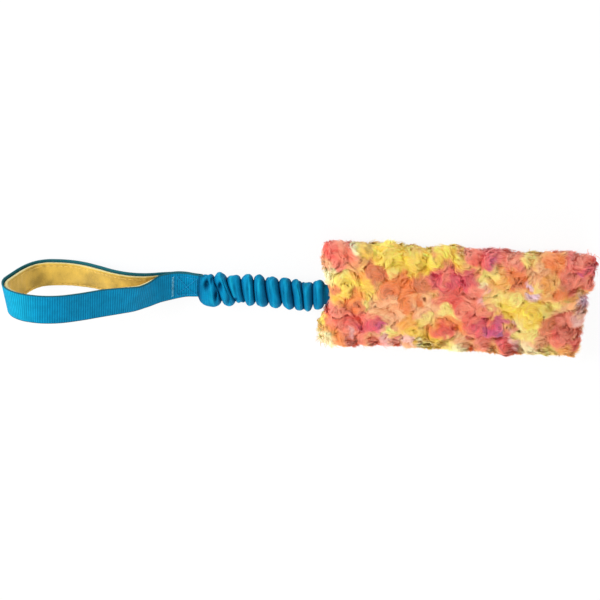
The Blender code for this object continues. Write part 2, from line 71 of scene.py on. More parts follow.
# Places that follow from the frame
strap_low, strap_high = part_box("handle_webbing")
lining_low, lining_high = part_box("handle_lining")
sleeve_low, sleeve_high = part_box("bungee_sleeve")
panel_low, panel_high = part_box("fur_panel_top")
elastic_low, elastic_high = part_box("bungee_elastic")
pivots = {joint["name"]: Vector(joint["pos_m"]) for joint in frame["joints"] if "pos_m" in joint}
bungee_y = pivots["handle_fold"].y
bungee_z = pivots["handle_fold"].z
mouth_x = sleeve_low.x
pad_front_x = panel_low.x
tail_end_x = strap_high.x
loop_height = strap_high.z

# Strap of the hand loop
webbing_width = strap_high.y - strap_low.y
webbing_thickness = 1.6 * MM
layer_gap = 0.3 * MM
neck_length = 30.5 * MM
neck_dip = 3.2 * MM
lining_width = lining_high.y - lining_low.y
lining_thickness = 2.8 * MM
lining_stop = 7.5 * MM
lining_end_room = 3.0 * MM
tails_thickness = 2 * webbing_thickness + layer_gap
neck_start_x = mouth_x - neck_length
loop_length = neck_start_x - strap_low.x

# The loop from the side: shares of its length away from the neck and of its height, from the lower tail
# round the tip to the upper tail, on the strap's outer face
loop_shares = (
    (0.00, 0.206), (0.11, 0.262), (0.20, 0.266), (0.29, 0.220), (0.384, 0.134),
    (0.483, 0.052), (0.573, 0.010), (0.659, 0.000), (0.745, 0.018), (0.820, 0.084),
    (0.886, 0.212), (0.952, 0.420), (0.996, 0.600), (0.992, 0.745), (0.952, 0.862),
    (0.880, 0.948), (0.800, 0.988), (0.715, 1.000), (0.612, 0.971), (0.486, 0.880),
    (0.345, 0.748), (0.225, 0.640), (0.140, 0.560), (0.068, 0.440), (0.00, 0.306),
)
neck_shares = (0.0, 0.2, 0.4, 0.6, 0.78)
# How the strap rolls about its own line, the +Y edge upwards: place along X and angle in degrees
lower_rolls = (
    (-228.0, 0.0), (-210.0, 4.5), (-192.0, 6.5), (-180.0, 9.0), (-170.0, 12.5), (-156.0, 15.0), (-138.0, 12.0),
    (-118.0, 0.0),
)
upper_rolls = ((-158.0, 0.0), (-142.0, 6.0), (-130.0, 11.5), (-124.0, 10.0), (-115.0, 0.0))
roll_shift = 3.4 * MM
tip_skew = 5.5 * MM
tip_skew_length = 34.0 * MM
# The strap's -Y half is drawn in towards the sleeve: by which share, from where and over what length
neck_draw = 0.42
neck_draw_start = -109.0 * MM
neck_draw_length = 29.0 * MM
# The value, in the webbing's attribute of painted light and shade, for cloth with none painted on: painted highlights
# lie under it, and painted shade in folds and the dark edges over it
unpainted_level = 0.25

# Folds of the sleeve, from the hand loop to the pad: where each crest lies on the +Y side and on the -Y side, and
# how far it stands out from the middle on each side
far_crests = np.array((-74.8, -65.6, -54.2, -42.1, -34.0, -23.1, -11.7, -3.1, 5.6, 14.6)) * MM
near_crests = np.array((-69.6, -55.6, -46.9, -40.6, -30.2, -18.8, -8.2, 0.8, 7.4, 15.4)) * MM
far_reaches = np.array((11.4, 14.6, 12.2, 14.6, 13.8, 13.1, 12.3, 10.6, 8.9, 11.9)) * MM
near_reaches = np.array((15.2, 14.2, 9.2, 13.0, 12.8, 13.3, 14.6, 14.8, 15.8, 13.2)) * MM
crest_heights = np.array((9.6, 9.8, 8.8, 9.8, 9.6, 9.8, 9.4, 9.5, 8.8, 9.0)) * MM
# Folds that run into each other on the -Y side: which valley, and how far it is filled
near_joins = ((7.0, 3.2 * MM), (8.0, 5.2 * MM))
# Hollows pressed into the sleeve's upper side: place along X, place across, half length, half width, depth
sleeve_hollows = (
    (-75.4, 6.4, 2.2, 3.6, 5.6),
    (-71.6, 9.6, 1.4, 2.6, 3.0),
    (-68.0, -2.0, 1.3, 5.0, 4.6),
    (-64.6, 5.6, 1.6, 4.2, 5.2),
    (-57.6, -5.5, 1.4, 4.6, 2.6),
    (-51.4, -5.2, 1.5, 2.6, 2.8),
    (-45.5, -6.5, 1.2, 2.6, 2.6),
    (-79.0, 3.0, 1.4, 6.0, 1.2),
)

# Dyes of the fur
dyes = {
    "base": "#F0B266",
    "butter": "#F4D478",
    "lemon": "#F3C942",
    "cream": "#F4DCAE",
    "amber": "#EBA148",
    "orange": "#EB7F3A",
    "rust": "#CE6C3A",
    "peach": "#F0AE7E",
    "coral": "#EA7C66",
    "red": "#DF554A",
    "crimson": "#D4425A",
    "magenta": "#C64478",
    "plum": "#9E4C80",
    "pink": "#F2B4AE",
    "lilac": "#DCC0D2",
    "olive": "#B09638",
}
# Where the dyes went in, on the upper side: place along X, place across, radius of the patch, in millimetres
dye_patches = (
    (30, 43, 14.7, "coral"), (38, 52, 6.2, "pink"), (28, 35, 5.3, "red"), (24, 41, 4.6, "red"),
    (20, 24, 7.7, "peach"), (31, 29, 6.2, "coral"), (24, 19, 7, "cream"), (44, 46, 5.3, "cream"),
    (58, 45, 11.1, "lemon"), (54, 44, 4, "olive"), (74, 42, 12.4, "lemon"), (72, 56, 5.6, "rust"),
    (78, 53, 3.9, "amber"), (86, 36, 11.6, "lemon"), (92, 54, 7.4, "peach"), (96, 52, 3.9, "pink"),
    (108, 43, 11.6, "lemon"), (108, 43, 3.4, "amber"), (116, 56, 7.7, "amber"), (123, 44, 9.3, "lemon"),
    (99, 36, 7.7, "lemon"), (134, 47, 7.4, "coral"), (139, 44, 7, "coral"), (148, 43, 9.6, "red"),
    (155, 42, 8.6, "crimson"), (154, 38, 4.4, "magenta"), (160, 52, 7.4, "red"), (171, 44, 9.6, "coral"),
    (179, 50, 7, "coral"), (176, 34, 6.2, "coral"), (187, 46, 8, "butter"), (196, 41, 7.7, "amber"),
    (206, 53, 5.6, "amber"), (211, 51, 4.3, "rust"), (205, 40, 7.7, "orange"), (205, 54, 2.2, "olive"),
    (231, 46, 10.2, "red"), (238, 36, 8, "crimson"), (223, 38, 9.6, "crimson"), (216, 32, 7.7, "coral"),
    (235, 23, 6.5, "red"), (225, 45, 6.2, "coral"), (224, 31, 4.6, "magenta"), (33, 17, 8.5, "butter"),
    (47, 18, 7.7, "amber"), (59, 26, 8.7, "rust"), (67, 22, 4.6, "rust"), (40, 7, 12.1, "lemon"),
    (51, 13, 8, "lemon"), (52, 1, 7, "lemon"), (74, 30, 4, "butter"), (78, 18, 9.3, "orange"),
    (71, 7, 8.5, "rust"), (87, 17, 9.6, "orange"), (91, 25, 3.4, "lemon"), (98, 19, 8.7, "rust"),
    (107, 24, 6.5, "coral"), (119, 22, 13, "crimson"), (128, 14, 11.1, "red"), (135, 24, 7.7, "crimson"),
    (116, 3, 8, "coral"), (128, 4, 7.4, "red"), (118, 27, 6.2, "coral"), (124, 21, 4.6, "crimson"),
    (146, 20, 4.9, "cream"), (155, 29, 7.7, "butter"), (161, 31, 4, "amber"), (164, 23, 7.7, "amber"),
    (174, 26, 7.7, "orange"), (178, 22, 5.6, "rust"), (149, 29, 4.6, "butter"), (194, 23, 8.7, "amber"),
    (192, 32, 7, "peach"), (190, 21, 4.6, "butter"), (183, 23, 2.6, "lilac"), (189, 11, 4.9, "lilac"),
    (215, 17, 7.7, "rust"), (218, 11, 6.2, "amber"), (217, 9, 1.7, "olive"), (223, 23, 7.7, "coral"),
    (230, 4, 7.4, "pink"), (232, 6, 3.6, "lilac"), (208, 15, 6.2, "orange"), (28, 9, 4.6, "rust"),
    (25, -6, 5.3, "coral"), (25, -12, 5.3, "red"), (46, -3, 10.2, "orange"), (38, -2, 5.6, "orange"),
    (56, -5, 6.5, "butter"),
    (63, -7, 8, "peach"), (45, -7, 5.3, "rust"), (85, 3, 9.6, "orange"), (89, -6, 7.1, "orange"),
    (71, 0, 6.5, "peach"), (74, -9, 7.7, "peach"), (100, -2, 9.6, "peach"), (97, 3, 4, "orange"),
    (110, -4, 6.5, "peach"), (119, -5, 6.5, "butter"), (136, -4, 7.4, "coral"), (143, 7, 7.7, "coral"),
    (154, 0, 6.5, "coral"), (141, 16, 5.6, "coral"), (148, 8, 4.6, "pink"), (163, 8, 9.6, "butter"),
    (171, 1, 9.6, "lemon"), (185, -8, 14.7, "lemon"), (193, -1, 9.3, "lemon"), (174, 11, 6.2, "butter"),
    (206, 0, 8, "butter"), (216, -2, 7.1, "peach"), (19, -24, 8, "lemon"), (26, -30, 7.4, "amber"),
    (23, -40, 6.5, "cream"), (30, -23, 5.6, "orange"), (33, -16, 8.7, "coral"), (41, -25, 9, "coral"),
    (49, -33, 8, "coral"), (46, -19, 7.1, "red"), (43, -30, 3.4, "pink"), (55, -21, 7.1, "crimson"),
    (63, -20, 6.8, "crimson"), (67, -22, 4.4, "magenta"), (69, -32, 8.7, "peach"), (74, -28, 4.6, "butter"),
    (79, -15, 8, "peach"), (53, -13, 5.3, "coral"), (95, -24, 11.4, "lemon"), (89, -33, 6.2, "pink"),
    (103, -15, 7.1, "butter"), (89, -17, 6.2, "amber"), (120, -24, 13.6, "orange"), (120, -24, 7.7, "red"),
    (111, -37, 9, "lemon"), (126, -36, 7.4, "butter"), (134, -30, 7.1, "peach"), (142, -14, 9.3, "red"),
    (150, -21, 11.1, "crimson"), (160, -20, 5.8, "magenta"), (164, -12, 4.9, "magenta"), (145, -7, 5.6, "coral"),
    (170, -28, 8, "crimson"), (152, -31, 7.7, "coral"), (173, -37, 7.4, "red"), (178, -29, 5.3, "pink"),
    (157, -13, 3.7, "crimson"), (155, -23, 4, "magenta"), (162, -21, 2.6, "plum"), (177, -15, 5.9, "pink"),
    (181, -22, 6.5, "butter"), (180, -11, 4.6, "butter"),
    (208, -20, 13, "coral"), (219, -27, 9.6, "coral"), (206, -14, 8.7, "rust"),
    (226, -31, 5.9, "red"), (227, -12, 7.4, "pink"), (216, -8, 6.8, "coral"), (210, -21, 5.3, "red"),
    (189, -36, 7.7, "cream"), (204, -39, 5.9, "butter"), (194, -28, 7.4, "peach"), (191, -21, 5.3, "butter"),
    (65, -38, 7.4, "coral"), (80, -38, 5.9, "coral"), (72, -35, 5.3, "pink"), (90, -38, 4.3, "peach"),
    (102, -40, 4.9, "cream"), (142, -40, 4, "orange"), (131, -41, 5.9, "cream"), (170, -44, 4.6, "coral"),
    (217, -40, 5.3, "amber"), (49, -41, 6.2, "coral"), (35, -39, 6.2, "orange"),
)
# Middles of the main curls on the upper side, as the solid has them: shares of the pad's length from its front, and
# of its width from its middle
curl_shares = (
    (0.04, 0.37), (0.13, 0.46), (0.26, 0.34), (0.34, 0.47), (0.42, 0.45), (0.54, 0.46),
    (0.62, 0.41), (0.73, 0.43), (0.82, 0.45), (0.91, 0.30), (0.97, 0.42), (0.09, 0.15),
    (0.18, 0.25), (0.13, -0.04), (0.24, 0.09), (0.32, 0.03), (0.38, 0.22), (0.46, 0.21),
    (0.45, 0.02), (0.38, -0.11), (0.59, 0.22), (0.67, 0.30), (0.81, 0.25), (0.72, 0.10),
    (0.78, -0.04), (0.92, 0.11), (0.53, -0.03), (0.87, -0.15), (0.98, -0.07), (0.02, -0.29),
    (0.10, -0.26), (0.21, -0.21), (0.26, -0.37), (0.35, -0.25), (0.45, -0.26), (0.18, -0.40),
    (0.10, -0.45), (0.36, -0.45), (0.58, -0.18), (0.66, -0.18), (0.53, -0.40), (0.62, -0.38),
    (0.70, -0.39), (0.81, -0.35), (0.90, -0.30), (0.98, -0.33),
)


# Settings


class HandleSettings(bpy.types.PropertyGroup):
    """Webbing and lining of the hand loop."""

    webbing_colour: FloatVectorProperty(
        name="Webbing", description="Colour of the nylon webbing", subtype="COLOR_GAMMA", size=3,
        min=0.0, max=1.0, default=(0.006, 0.486, 0.650),
    )
    lining_colour: FloatVectorProperty(
        name="Lining", description="Colour of the fleece lining", subtype="COLOR_GAMMA", size=3,
        min=0.0, max=1.0, default=(0.765, 0.630, 0.255),
    )
    rib_pitch: FloatProperty(
        name="Rib Pitch", description="Distance between the webbing's cross ribs", unit="LENGTH",
        default=1.95 * MM, min=1.0 * MM, max=4.0 * MM,
    )
    rib_height: FloatProperty(
        name="Rib Height", description="How far a rib stands out of the webbing", unit="LENGTH",
        default=0.22 * MM, min=0.0, max=0.6 * MM,
    )
    stitch_length: FloatProperty(
        name="Stitch Length", description="Length of one stitch", unit="LENGTH",
        default=2.6 * MM, min=1.5 * MM, max=5.0 * MM,
    )
    thread_diameter: FloatProperty(
        name="Thread", description="Diameter of the sewing thread", unit="LENGTH",
        default=0.6 * MM, min=0.2 * MM, max=1.2 * MM,
    )


class SleeveSettings(bpy.types.PropertyGroup):
    """Gathered sleeve over the elastic."""

    valley_width: FloatProperty(
        name="Valley Width", description="Half width of the sleeve between two folds", unit="LENGTH",
        default=8.8 * MM, min=8.3 * MM, max=12.0 * MM,
    )
    valley_height: FloatProperty(
        name="Valley Height", description="Half height of the sleeve between two folds", unit="LENGTH",
        default=5.3 * MM, min=5.0 * MM, max=8.0 * MM,
    )
    rib_height: FloatProperty(
        name="Rib Height", description="How far a rib stands out of the gathered webbing", unit="LENGTH",
        default=0.07 * MM, min=0.0, max=0.6 * MM,
    )


class FurSettings(bpy.types.PropertyGroup):
    """Curly pile of the pad."""

    pile_length: FloatProperty(
        name="Pile Length", description="Length of one lock of pile", unit="LENGTH",
        default=11.5 * MM, min=5.0 * MM, max=16.0 * MM,
    )
    pile_depth: FloatProperty(
        name="Pile Depth", description="How thick the pile lies on the skin", unit="LENGTH",
        default=3.9 * MM, min=2.0 * MM, max=8.0 * MM,
    )
    lock_width: FloatProperty(
        name="Lock Width", description="Width of one lock, drawn coarser than hair so that it shows", unit="LENGTH",
        default=0.47 * MM, min=0.2 * MM, max=2.0 * MM,
    )
    curl_radius: FloatProperty(
        name="Curl Radius", description="How far one curl reaches", unit="LENGTH",
        default=11.0 * MM, min=6.0 * MM, max=18.0 * MM,
    )
    upper_locks: IntProperty(
        name="Upper Locks", description="Locks on the pad's upper side", default=82000, min=1000, max=90000,
    )
    lower_locks: IntProperty(
        name="Lower Locks", description="Locks on the pad's lower side", default=34000, min=1000, max=90000,
    )
    seed: IntProperty(name="Seed", description="Start of the random draws", default=7, min=0)


class StageSettings(bpy.types.PropertyGroup):
    """Camera and lamps."""

    lens: FloatProperty(
        name="Lens", description="Focal length of the camera", subtype="DISTANCE_CAMERA",
        default=200.0, min=35.0, max=300.0,
    )
    view_width: FloatProperty(
        name="View Width", description="Width of the picture where the toy lies", unit="LENGTH",
        default=488.1 * MM, min=0.2, max=2.0,
    )
    lean: FloatProperty(
        name="Lean", description="Angle of the line of sight from straight down", subtype="ANGLE",
        default=math.radians(28.0), min=0.0, max=math.radians(80.0),
    )
    roll: FloatProperty(
        name="Roll", description="Turn of the camera about its line of sight", subtype="ANGLE",
        default=math.radians(2.8), min=math.radians(-20.0), max=math.radians(20.0),
    )
    world_level: FloatProperty(
        name="World Level", description="Brightness of the light from all round",
        default=0.66, min=0.0, max=2.0,
    )
    key_power: FloatProperty(
        name="Key Power", description="Power of the main lamp", unit="POWER", default=26.0, min=0.0, max=200.0,
    )
    fill_power: FloatProperty(
        name="Fill Power", description="Power of the second lamp", unit="POWER", default=11.0, min=0.0, max=200.0,
    )


# Shared helpers


def linear(hex_colour):
    """An sRGB hex colour as linear red, green, blue and alpha."""
    values = [int(hex_colour[k:k + 2], 16) / 255 for k in (1, 3, 5)]
    return (*[linear_value(value) for value in values], 1.0)


def linear_value(value):
    return value / 12.92 if value <= 0.04045 else ((value + 0.055) / 1.055) ** 2.4


def shade_of(colour, factor):
    """A linear colour made lighter or darker."""
    return (*[min(1.0, value * factor) for value in colour[:3]], 1.0)


def from_setting(colour):
    return (*[linear_value(value) for value in colour], 1.0)


def new_material(name):
    made = bpy.data.materials.new(name)
    made.use_nodes = True
    made.node_tree.nodes.clear()
    return made


def add_node(tree, kind, inputs=None, **values):
    """Adds a node with its settings. An input that is given a socket is linked, and any other is set."""
    made = tree.nodes.new(kind)
    for name, value in values.items():
        setattr(made, name, value)
    for name, value in (inputs or {}).items():
        if isinstance(value, bpy.types.NodeSocket):
            tree.links.new(value, made.inputs[name])
        else:
            made.inputs[name].default_value = value
    return made


def ramp(tree, factor, *stops):
    """A colour ramp through the stops, which are pairs of a place and a linear colour."""
    made = add_node(tree, "ShaderNodeValToRGB", {"Fac": factor})
    elements = made.color_ramp.elements
    while len(elements) < len(stops):
        elements.new(0.5)
    for element, (place, colour) in zip(elements, stops):
        element.position = place
        element.color = colour
    return made


def finish_surface(tree, inputs):
    """A Principled surface with these inputs, joined to the output."""
    shader = add_node(tree, "ShaderNodeBsdfPrincipled", inputs)
    add_node(tree, "ShaderNodeOutputMaterial", {"Surface": shader.outputs["BSDF"]})
    return shader


def noise(tree, place, scale, detail, roughness):
    """Cloudy values from 0 to 1, as a socket."""
    made = add_node(
        tree, "ShaderNodeTexNoise", {"Vector": place, "Scale": scale, "Detail": detail, "Roughness": roughness}
    )
    return made.outputs["Fac"]


def bumped(tree, height, strength, distance):
    """The normal of a surface with this height on it, as a socket."""
    made = add_node(tree, "ShaderNodeBump", {"Height": height, "Strength": strength, "Distance": distance})
    return made.outputs["Normal"]


def mixed_colour(tree, factor, one, other, blend_type="MIX"):
    """Two colours mixed, as a socket."""
    made = add_node(
        tree, "ShaderNodeMix", {"Factor": factor, 6: one, 7: other}, data_type="RGBA", blend_type=blend_type
    )
    return made.outputs[2]


def seen_directly(tree):
    """1 where the surface is seen, straight, mirrored or through glass, and 0 where it only gives light."""
    path = add_node(tree, "ShaderNodeLightPath")
    seen = path.outputs["Is Camera Ray"]
    for kind in ("Is Glossy Ray", "Is Transmission Ray"):
        either = add_node(tree, "ShaderNodeMath", {0: seen, 1: path.outputs[kind]}, operation="MAXIMUM")
        seen = either.outputs[0]
    return seen


def vertex_rows(mesh, kind):
    """The places ("co") or normals ("normal") of a mesh's vertices, as an array with a row for each."""
    values = np.empty(len(mesh.vertices) * 3)
    mesh.vertices.foreach_get(kind, values)
    return values.reshape(-1, 3)


def mesh_piece(name, bm, angle=math.radians(60)):
    """A finished mesh object at the origin, with its faces turned outwards."""
    bmesh.ops.recalc_face_normals(bm, faces=bm.faces)
    mesh = bpy.data.meshes.new(name)
    bm.to_mesh(mesh)
    bm.free()
    mesh.shade_smooth()
    mesh.set_sharp_from_angle(angle=angle)
    piece = bpy.data.objects.new(name, mesh)
    bpy.context.scene.collection.objects.link(piece)
    return piece


def placed_grid(columns, rows, place, measure, depth=None):
    """A grid whose vertices go where place(u, v) says, with measure(u, v) in metres as its UV map.

    u and v are arrays from 0 to 1. depth(u, v) gives each point's painted light and shade, from 0 to 1, for the
    material's colour. Edges that come to lie on each other are welded."""
    bm = bmesh.new()
    layer = bm.loops.layers.uv.new("Weave")
    # A vertex attribute of painted light and shade, for the material
    painted_shading = bm.verts.layers.float.new("Depth")
    bmesh.ops.create_grid(bm, x_segments=columns, y_segments=rows, size=0.5)
    shares = np.array([vert.co[:2] for vert in bm.verts]) + 0.5
    places = place(shares[:, 0], shares[:, 1])
    measures = measure(shares[:, 0], shares[:, 1])
    shading_values = depth(shares[:, 0], shares[:, 1]) if depth else np.zeros(len(shares))
    for vert, point, deep in zip(bm.verts, places, shading_values):
        vert.co = point
        vert[painted_shading] = deep
    bm.verts.index_update()
    for face in bm.faces:
        for loop in face.loops:
            loop[layer].uv = measures[loop.vert.index]
    bmesh.ops.remove_doubles(bm, verts=bm.verts, dist=0.01 * MM)
    return bm


def ripple(points, wavelength, seed, waves=6):
    """Smooth irregular values from about -1 to 1 at the points: waves in random directions, added up."""
    rng = np.random.default_rng(seed)
    directions = rng.normal(size=(waves, 3))
    directions /= np.linalg.norm(directions, axis=1)[:, None]
    stretch = rng.uniform(0.7, 1.4, waves)
    phases = rng.uniform(0.0, 2 * math.pi, waves)
    angles = points @ directions.T * (2 * math.pi / wavelength) * stretch + phases
    return np.sin(angles).sum(axis=1) / math.sqrt(waves)


def unit(vectors):
    return vectors / np.maximum(np.linalg.norm(vectors, axis=-1, keepdims=True), 1e-12)


def thread_piece(name, lines, radius, material, sides=1):
    """Threads along lines, as one mesh made from a bevelled curve with a spline for each line."""
    data = bpy.data.curves.new(name, "CURVE")
    data.dimensions = "3D"
    data.bevel_depth = radius
    data.bevel_resolution = sides
    data.use_fill_caps = True
    for line in lines:
        spline = data.splines.new("POLY")
        spline.points.add(len(line) - 1)
        for target, point in zip(spline.points, line):
            target.co = (*point, 1.0)
    guide = bpy.data.objects.new(name + "_guide", data)
    bpy.context.scene.collection.objects.link(guide)
    bpy.context.view_layer.update()
    mesh = bpy.data.meshes.new_from_object(guide.evaluated_get(bpy.context.evaluated_depsgraph_get()))
    bpy.data.objects.remove(guide)
    bm = bmesh.new()
    bm.from_mesh(mesh)
    bmesh.ops.remove_doubles(bm, verts=bm.verts, dist=0.001 * MM)
    bpy.data.meshes.remove(mesh)
    piece = mesh_piece(name, bm)
    piece.data.materials.clear()
    piece.data.materials.append(material)
    return piece


# Materials


def wave_scale(pitch):
    """The wave texture's scale at which its bands lie one pitch apart."""
    return 2 * math.pi / (20 * pitch)


def webbing_material(name="ribbed_nylon_webbing", rib_share=1.0):
    """Woven nylon webbing, piece-dyed: cross ribs with a fine warp over them, with painted shade in the ribs' grooves
    and a painted highlight on their crests, and painted light and shade read from the mesh. Drawn tight, less of the
    ribs' painted light goes on, so its ribs show less.
    """
    found = bpy.data.materials.get(name)
    if found:
        return found
    handle = bpy.context.scene.tug_toy_handle
    colour = from_setting(handle.webbing_colour)
    made = new_material(name)
    tree = made.node_tree
    place = add_node(tree, "ShaderNodeUVMap", uv_map="Weave")
    # The ribs run across the webbing, so they are waves along its length
    rib = add_node(
        tree, "ShaderNodeTexWave",
        {"Vector": place.outputs["UV"], "Scale": wave_scale(handle.rib_pitch)},
        wave_type="BANDS", bands_direction="Y", wave_profile="SIN",
    )
    # The warp's yarns are 0.45 mm apart and drawn at 0.7 mm, so that they show close up
    warp = add_node(
        tree, "ShaderNodeTexWave",
        {"Vector": place.outputs["UV"], "Scale": wave_scale(0.7 * MM), "Distortion": 0.4, "Detail": 1.0},
        wave_type="BANDS", bands_direction="X", wave_profile="SIN",
    )
    mottle = noise(tree, place.outputs["UV"], 140.0, 3.0, 0.6)
    fuzz = noise(tree, place.outputs["UV"], 1600.0, 2.0, 0.7)
    toned = ramp(tree, mottle, (0.30, shade_of(colour, 0.86)), (0.50, colour), (0.70, shade_of(colour, 1.14)))
    # Painted shade in the ribs' grooves and a painted highlight on their crests
    lit = ramp(
        tree, rib.outputs["Fac"],
        (0.0, (0.56, 0.68, 0.75, 1.0)), (0.55, (0.88, 0.92, 0.95, 1.0)), (0.82, (1.0, 1.0, 1.0, 1.0)),
        (1.0, (2.6, 1.28, 1.18, 1.0)),
    )
    ribbed = mixed_colour(tree, rib_share, toned.outputs["Color"], lit.outputs["Color"], "MULTIPLY")
    # Painted light and shade from the mesh: painted shade in folds and hollows, a painted highlight at the strap's tip
    # and along the sleeve's folds, and on the woven edges and on the inner face beside the lining a dark teal that is
    # partly the selvedge's own colour and partly painted shade
    depth = add_node(tree, "ShaderNodeAttribute", attribute_name="Depth")
    painted_light_ramp = ramp(
        tree, depth.outputs["Fac"],
        (0.0, (9.0, 1.52, 1.26, 1.0)), (unpainted_level, (1.0, 1.0, 1.0, 1.0)), (0.55, (0.60, 0.56, 0.64, 1.0)),
        (0.88, (0.25, 0.24, 0.34, 1.0)),
    )
    painted_colour = mixed_colour(tree, 1.0, ribbed, painted_light_ramp.outputs["Color"], "MULTIPLY")
    edge = add_node(
        tree, "ShaderNodeMapRange", {"Value": depth.outputs["Fac"], "From Min": 0.90, "From Max": 1.0}
    )
    base = mixed_colour(tree, edge.outputs[0], painted_colour, linear("#1F5C66"))
    height = add_node(tree, "ShaderNodeMath", {0: warp.outputs["Fac"], 1: 0.30, 2: fuzz}, operation="MULTIPLY_ADD")
    finish_surface(
        tree,
        {"Base Color": base, "Roughness": 0.62, "Specular IOR Level": 0.05,
         "Normal": bumped(tree, height.outputs[0], 0.45, 0.15 * MM)},
    )
    return made


def fleece_material():
    """Polyester fleece, knitted and brushed: matt, with a soft pale bloom and a folded edge that is paler."""
    found = bpy.data.materials.get("brushed_fleece")
    if found:
        return found
    colour = from_setting(bpy.context.scene.tug_toy_handle.lining_colour)
    made = new_material("brushed_fleece")
    tree = made.node_tree
    place = add_node(tree, "ShaderNodeUVMap", uv_map="Weave")
    split = add_node(tree, "ShaderNodeSeparateXYZ", {"Vector": place.outputs["UV"]})
    tuft = noise(tree, place.outputs["UV"], 900.0, 4.0, 0.65)
    cloud = noise(tree, place.outputs["UV"], 60.0, 3.0, 0.5)
    tone = add_node(tree, "ShaderNodeMix", {"Factor": 0.74, 2: tuft, 3: cloud}, data_type="FLOAT")
    body = ramp(
        tree, tone.outputs[0], (0.36, shade_of(colour, 0.66)), (0.5, colour), (0.64, shade_of(colour, 1.20))
    )
    # The UV's first value is the distance from the lining's middle
    away = add_node(tree, "ShaderNodeMath", {0: split.outputs["X"]}, operation="ABSOLUTE")
    edge = add_node(
        tree, "ShaderNodeMapRange",
        {"Value": away.outputs[0], "From Min": lining_width / 2 - 0.30 * MM, "From Max": lining_width / 2},
    )
    base = mixed_colour(tree, edge.outputs[0], body.outputs["Color"], linear("#CFC690"))
    finish_surface(
        tree,
        {"Base Color": base, "Roughness": 0.95, "Specular IOR Level": 0.05, "Sheen Weight": 0.2,
         "Sheen Roughness": 0.6, "Normal": bumped(tree, tuft, 0.7, 0.4 * MM)},
    )
    return made


def thread_material(name, hex_colour):
    """Bonded sewing thread: two plies twisted together, slightly glossy."""
    found = bpy.data.materials.get(name)
    if found:
        return found
    made = new_material(name)
    tree = made.node_tree
    place = add_node(tree, "ShaderNodeTexCoord")
    # A ply's turn is 0.8 mm, drawn at 1.2 mm
    twist = add_node(
        tree, "ShaderNodeTexWave", {"Vector": place.outputs["Object"], "Scale": 130.0, "Distortion": 1.0},
        wave_type="BANDS", bands_direction="DIAGONAL",
    )
    colour = linear(hex_colour)
    # Painted shade: the twist's bands are painted darker, in the grooves between the plies
    base = ramp(tree, twist.outputs["Fac"], (0.1, shade_of(colour, 0.7)), (0.7, colour))
    finish_surface(
        tree,
        {"Base Color": base.outputs["Color"], "Roughness": 0.55, "Specular IOR Level": 0.12,
         "Normal": bumped(tree, twist.outputs["Fac"], 0.5, 0.15 * MM)},
    )
    return made


def elastic_material():
    """Woven elastic: pale, with fine ribs along it where the rubber cores lie."""
    made = new_material("woven_elastic")
    tree = made.node_tree
    place = add_node(tree, "ShaderNodeTexCoord")
    # The cores are 1 mm apart across the elastic
    cores = add_node(
        tree, "ShaderNodeTexWave", {"Vector": place.outputs["Object"], "Scale": 157.0, "Distortion": 0.3},
        wave_type="BANDS", bands_direction="Y",
    )
    base = ramp(
        tree, cores.outputs["Fac"], (0.0, linear("#BDB9AE")), (0.5, linear("#DCD9CF")), (1.0, linear("#EDEBE4"))
    )
    finish_surface(
        tree,
        {"Base Color": base.outputs["Color"], "Roughness": 0.7,
         "Normal": bumped(tree, cores.outputs["Fac"], 0.6, 0.3 * MM)},
    )
    return made


def wadding_material():
    """Loose polyester wadding: white, matt and cloudy."""
    made = new_material("polyester_wadding")
    tree = made.node_tree
    place = add_node(tree, "ShaderNodeTexCoord")
    cloud = noise(tree, place.outputs["Object"], 220.0, 5.0, 0.7)
    base = ramp(tree, cloud, (0.3, linear("#D9D6CE")), (0.7, linear("#F4F2EC")))
    finish_surface(
        tree,
        {"Base Color": base.outputs["Color"], "Roughness": 1.0, "Sheen Weight": 0.3,
         "Normal": bumped(tree, cloud, 0.8, 1.5 * MM)},
    )
    return made


def pile_material():
    """Dyed polyester pile: each lock carries its own colour, its dye deeper at the root and paler at the tip, with
    painted light added on the pad's sides.
    """
    made = new_material("dyed_curly_pile")
    tree = made.node_tree
    dye = add_node(tree, "ShaderNodeAttribute", attribute_name="Dye")
    finish_surface(
        tree,
        {"Base Color": dye.outputs["Color"], "Roughness": 0.75, "Specular IOR Level": 0.12, "Sheen Weight": 0.12,
         "Sheen Roughness": 0.5},
    )
    return made


def skin_material():
    """Knitted backing under the pile, with the short dense pile that lies between the locks."""
    made = new_material("dyed_short_pile")
    tree = made.node_tree
    dye = add_node(tree, "ShaderNodeAttribute", attribute_name="Dye")
    place = add_node(tree, "ShaderNodeTexCoord")
    tuft = noise(tree, place.outputs["Object"], 700.0, 4.0, 0.7)
    lit = ramp(tree, tuft, (0.3, (0.84, 0.80, 0.80, 1.0)), (0.7, (1.0, 1.0, 1.0, 1.0)))
    base = mixed_colour(tree, 1.0, dye.outputs["Color"], lit.outputs["Color"], "MULTIPLY")
    finish_surface(
        tree,
        {"Base Color": base, "Roughness": 0.95, "Sheen Weight": 0.4, "Normal": bumped(tree, tuft, 0.9, 0.8 * MM)},
    )
    return made


# Hand loop


def spline_through(points, pieces=8):
    """A smooth line through the points (a centripetal Catmull-Rom curve)."""
    ends = [points[0] * 2 - points[1], *points, points[-1] * 2 - points[-2]]
    line = []
    for a, b, c, d in zip(ends, ends[1:], ends[2:], ends[3:]):
        t1 = (b - a).length ** 0.5
        t2 = t1 + (c - b).length ** 0.5
        t3 = t2 + (d - c).length ** 0.5
        for step in range(pieces):
            t = t1 + (t2 - t1) * step / pieces
            ab = a.lerp(b, t / t1)
            bc = b.lerp(c, (t - t1) / (t2 - t1))
            cd = c.lerp(d, (t - t2) / (t3 - t2))
            line.append(ab.lerp(bc, t / t2).lerp(bc.lerp(cd, (t - t1) / (t3 - t1)), (t - t1) / (t2 - t1)))
    line.append(points[-1])
    return line


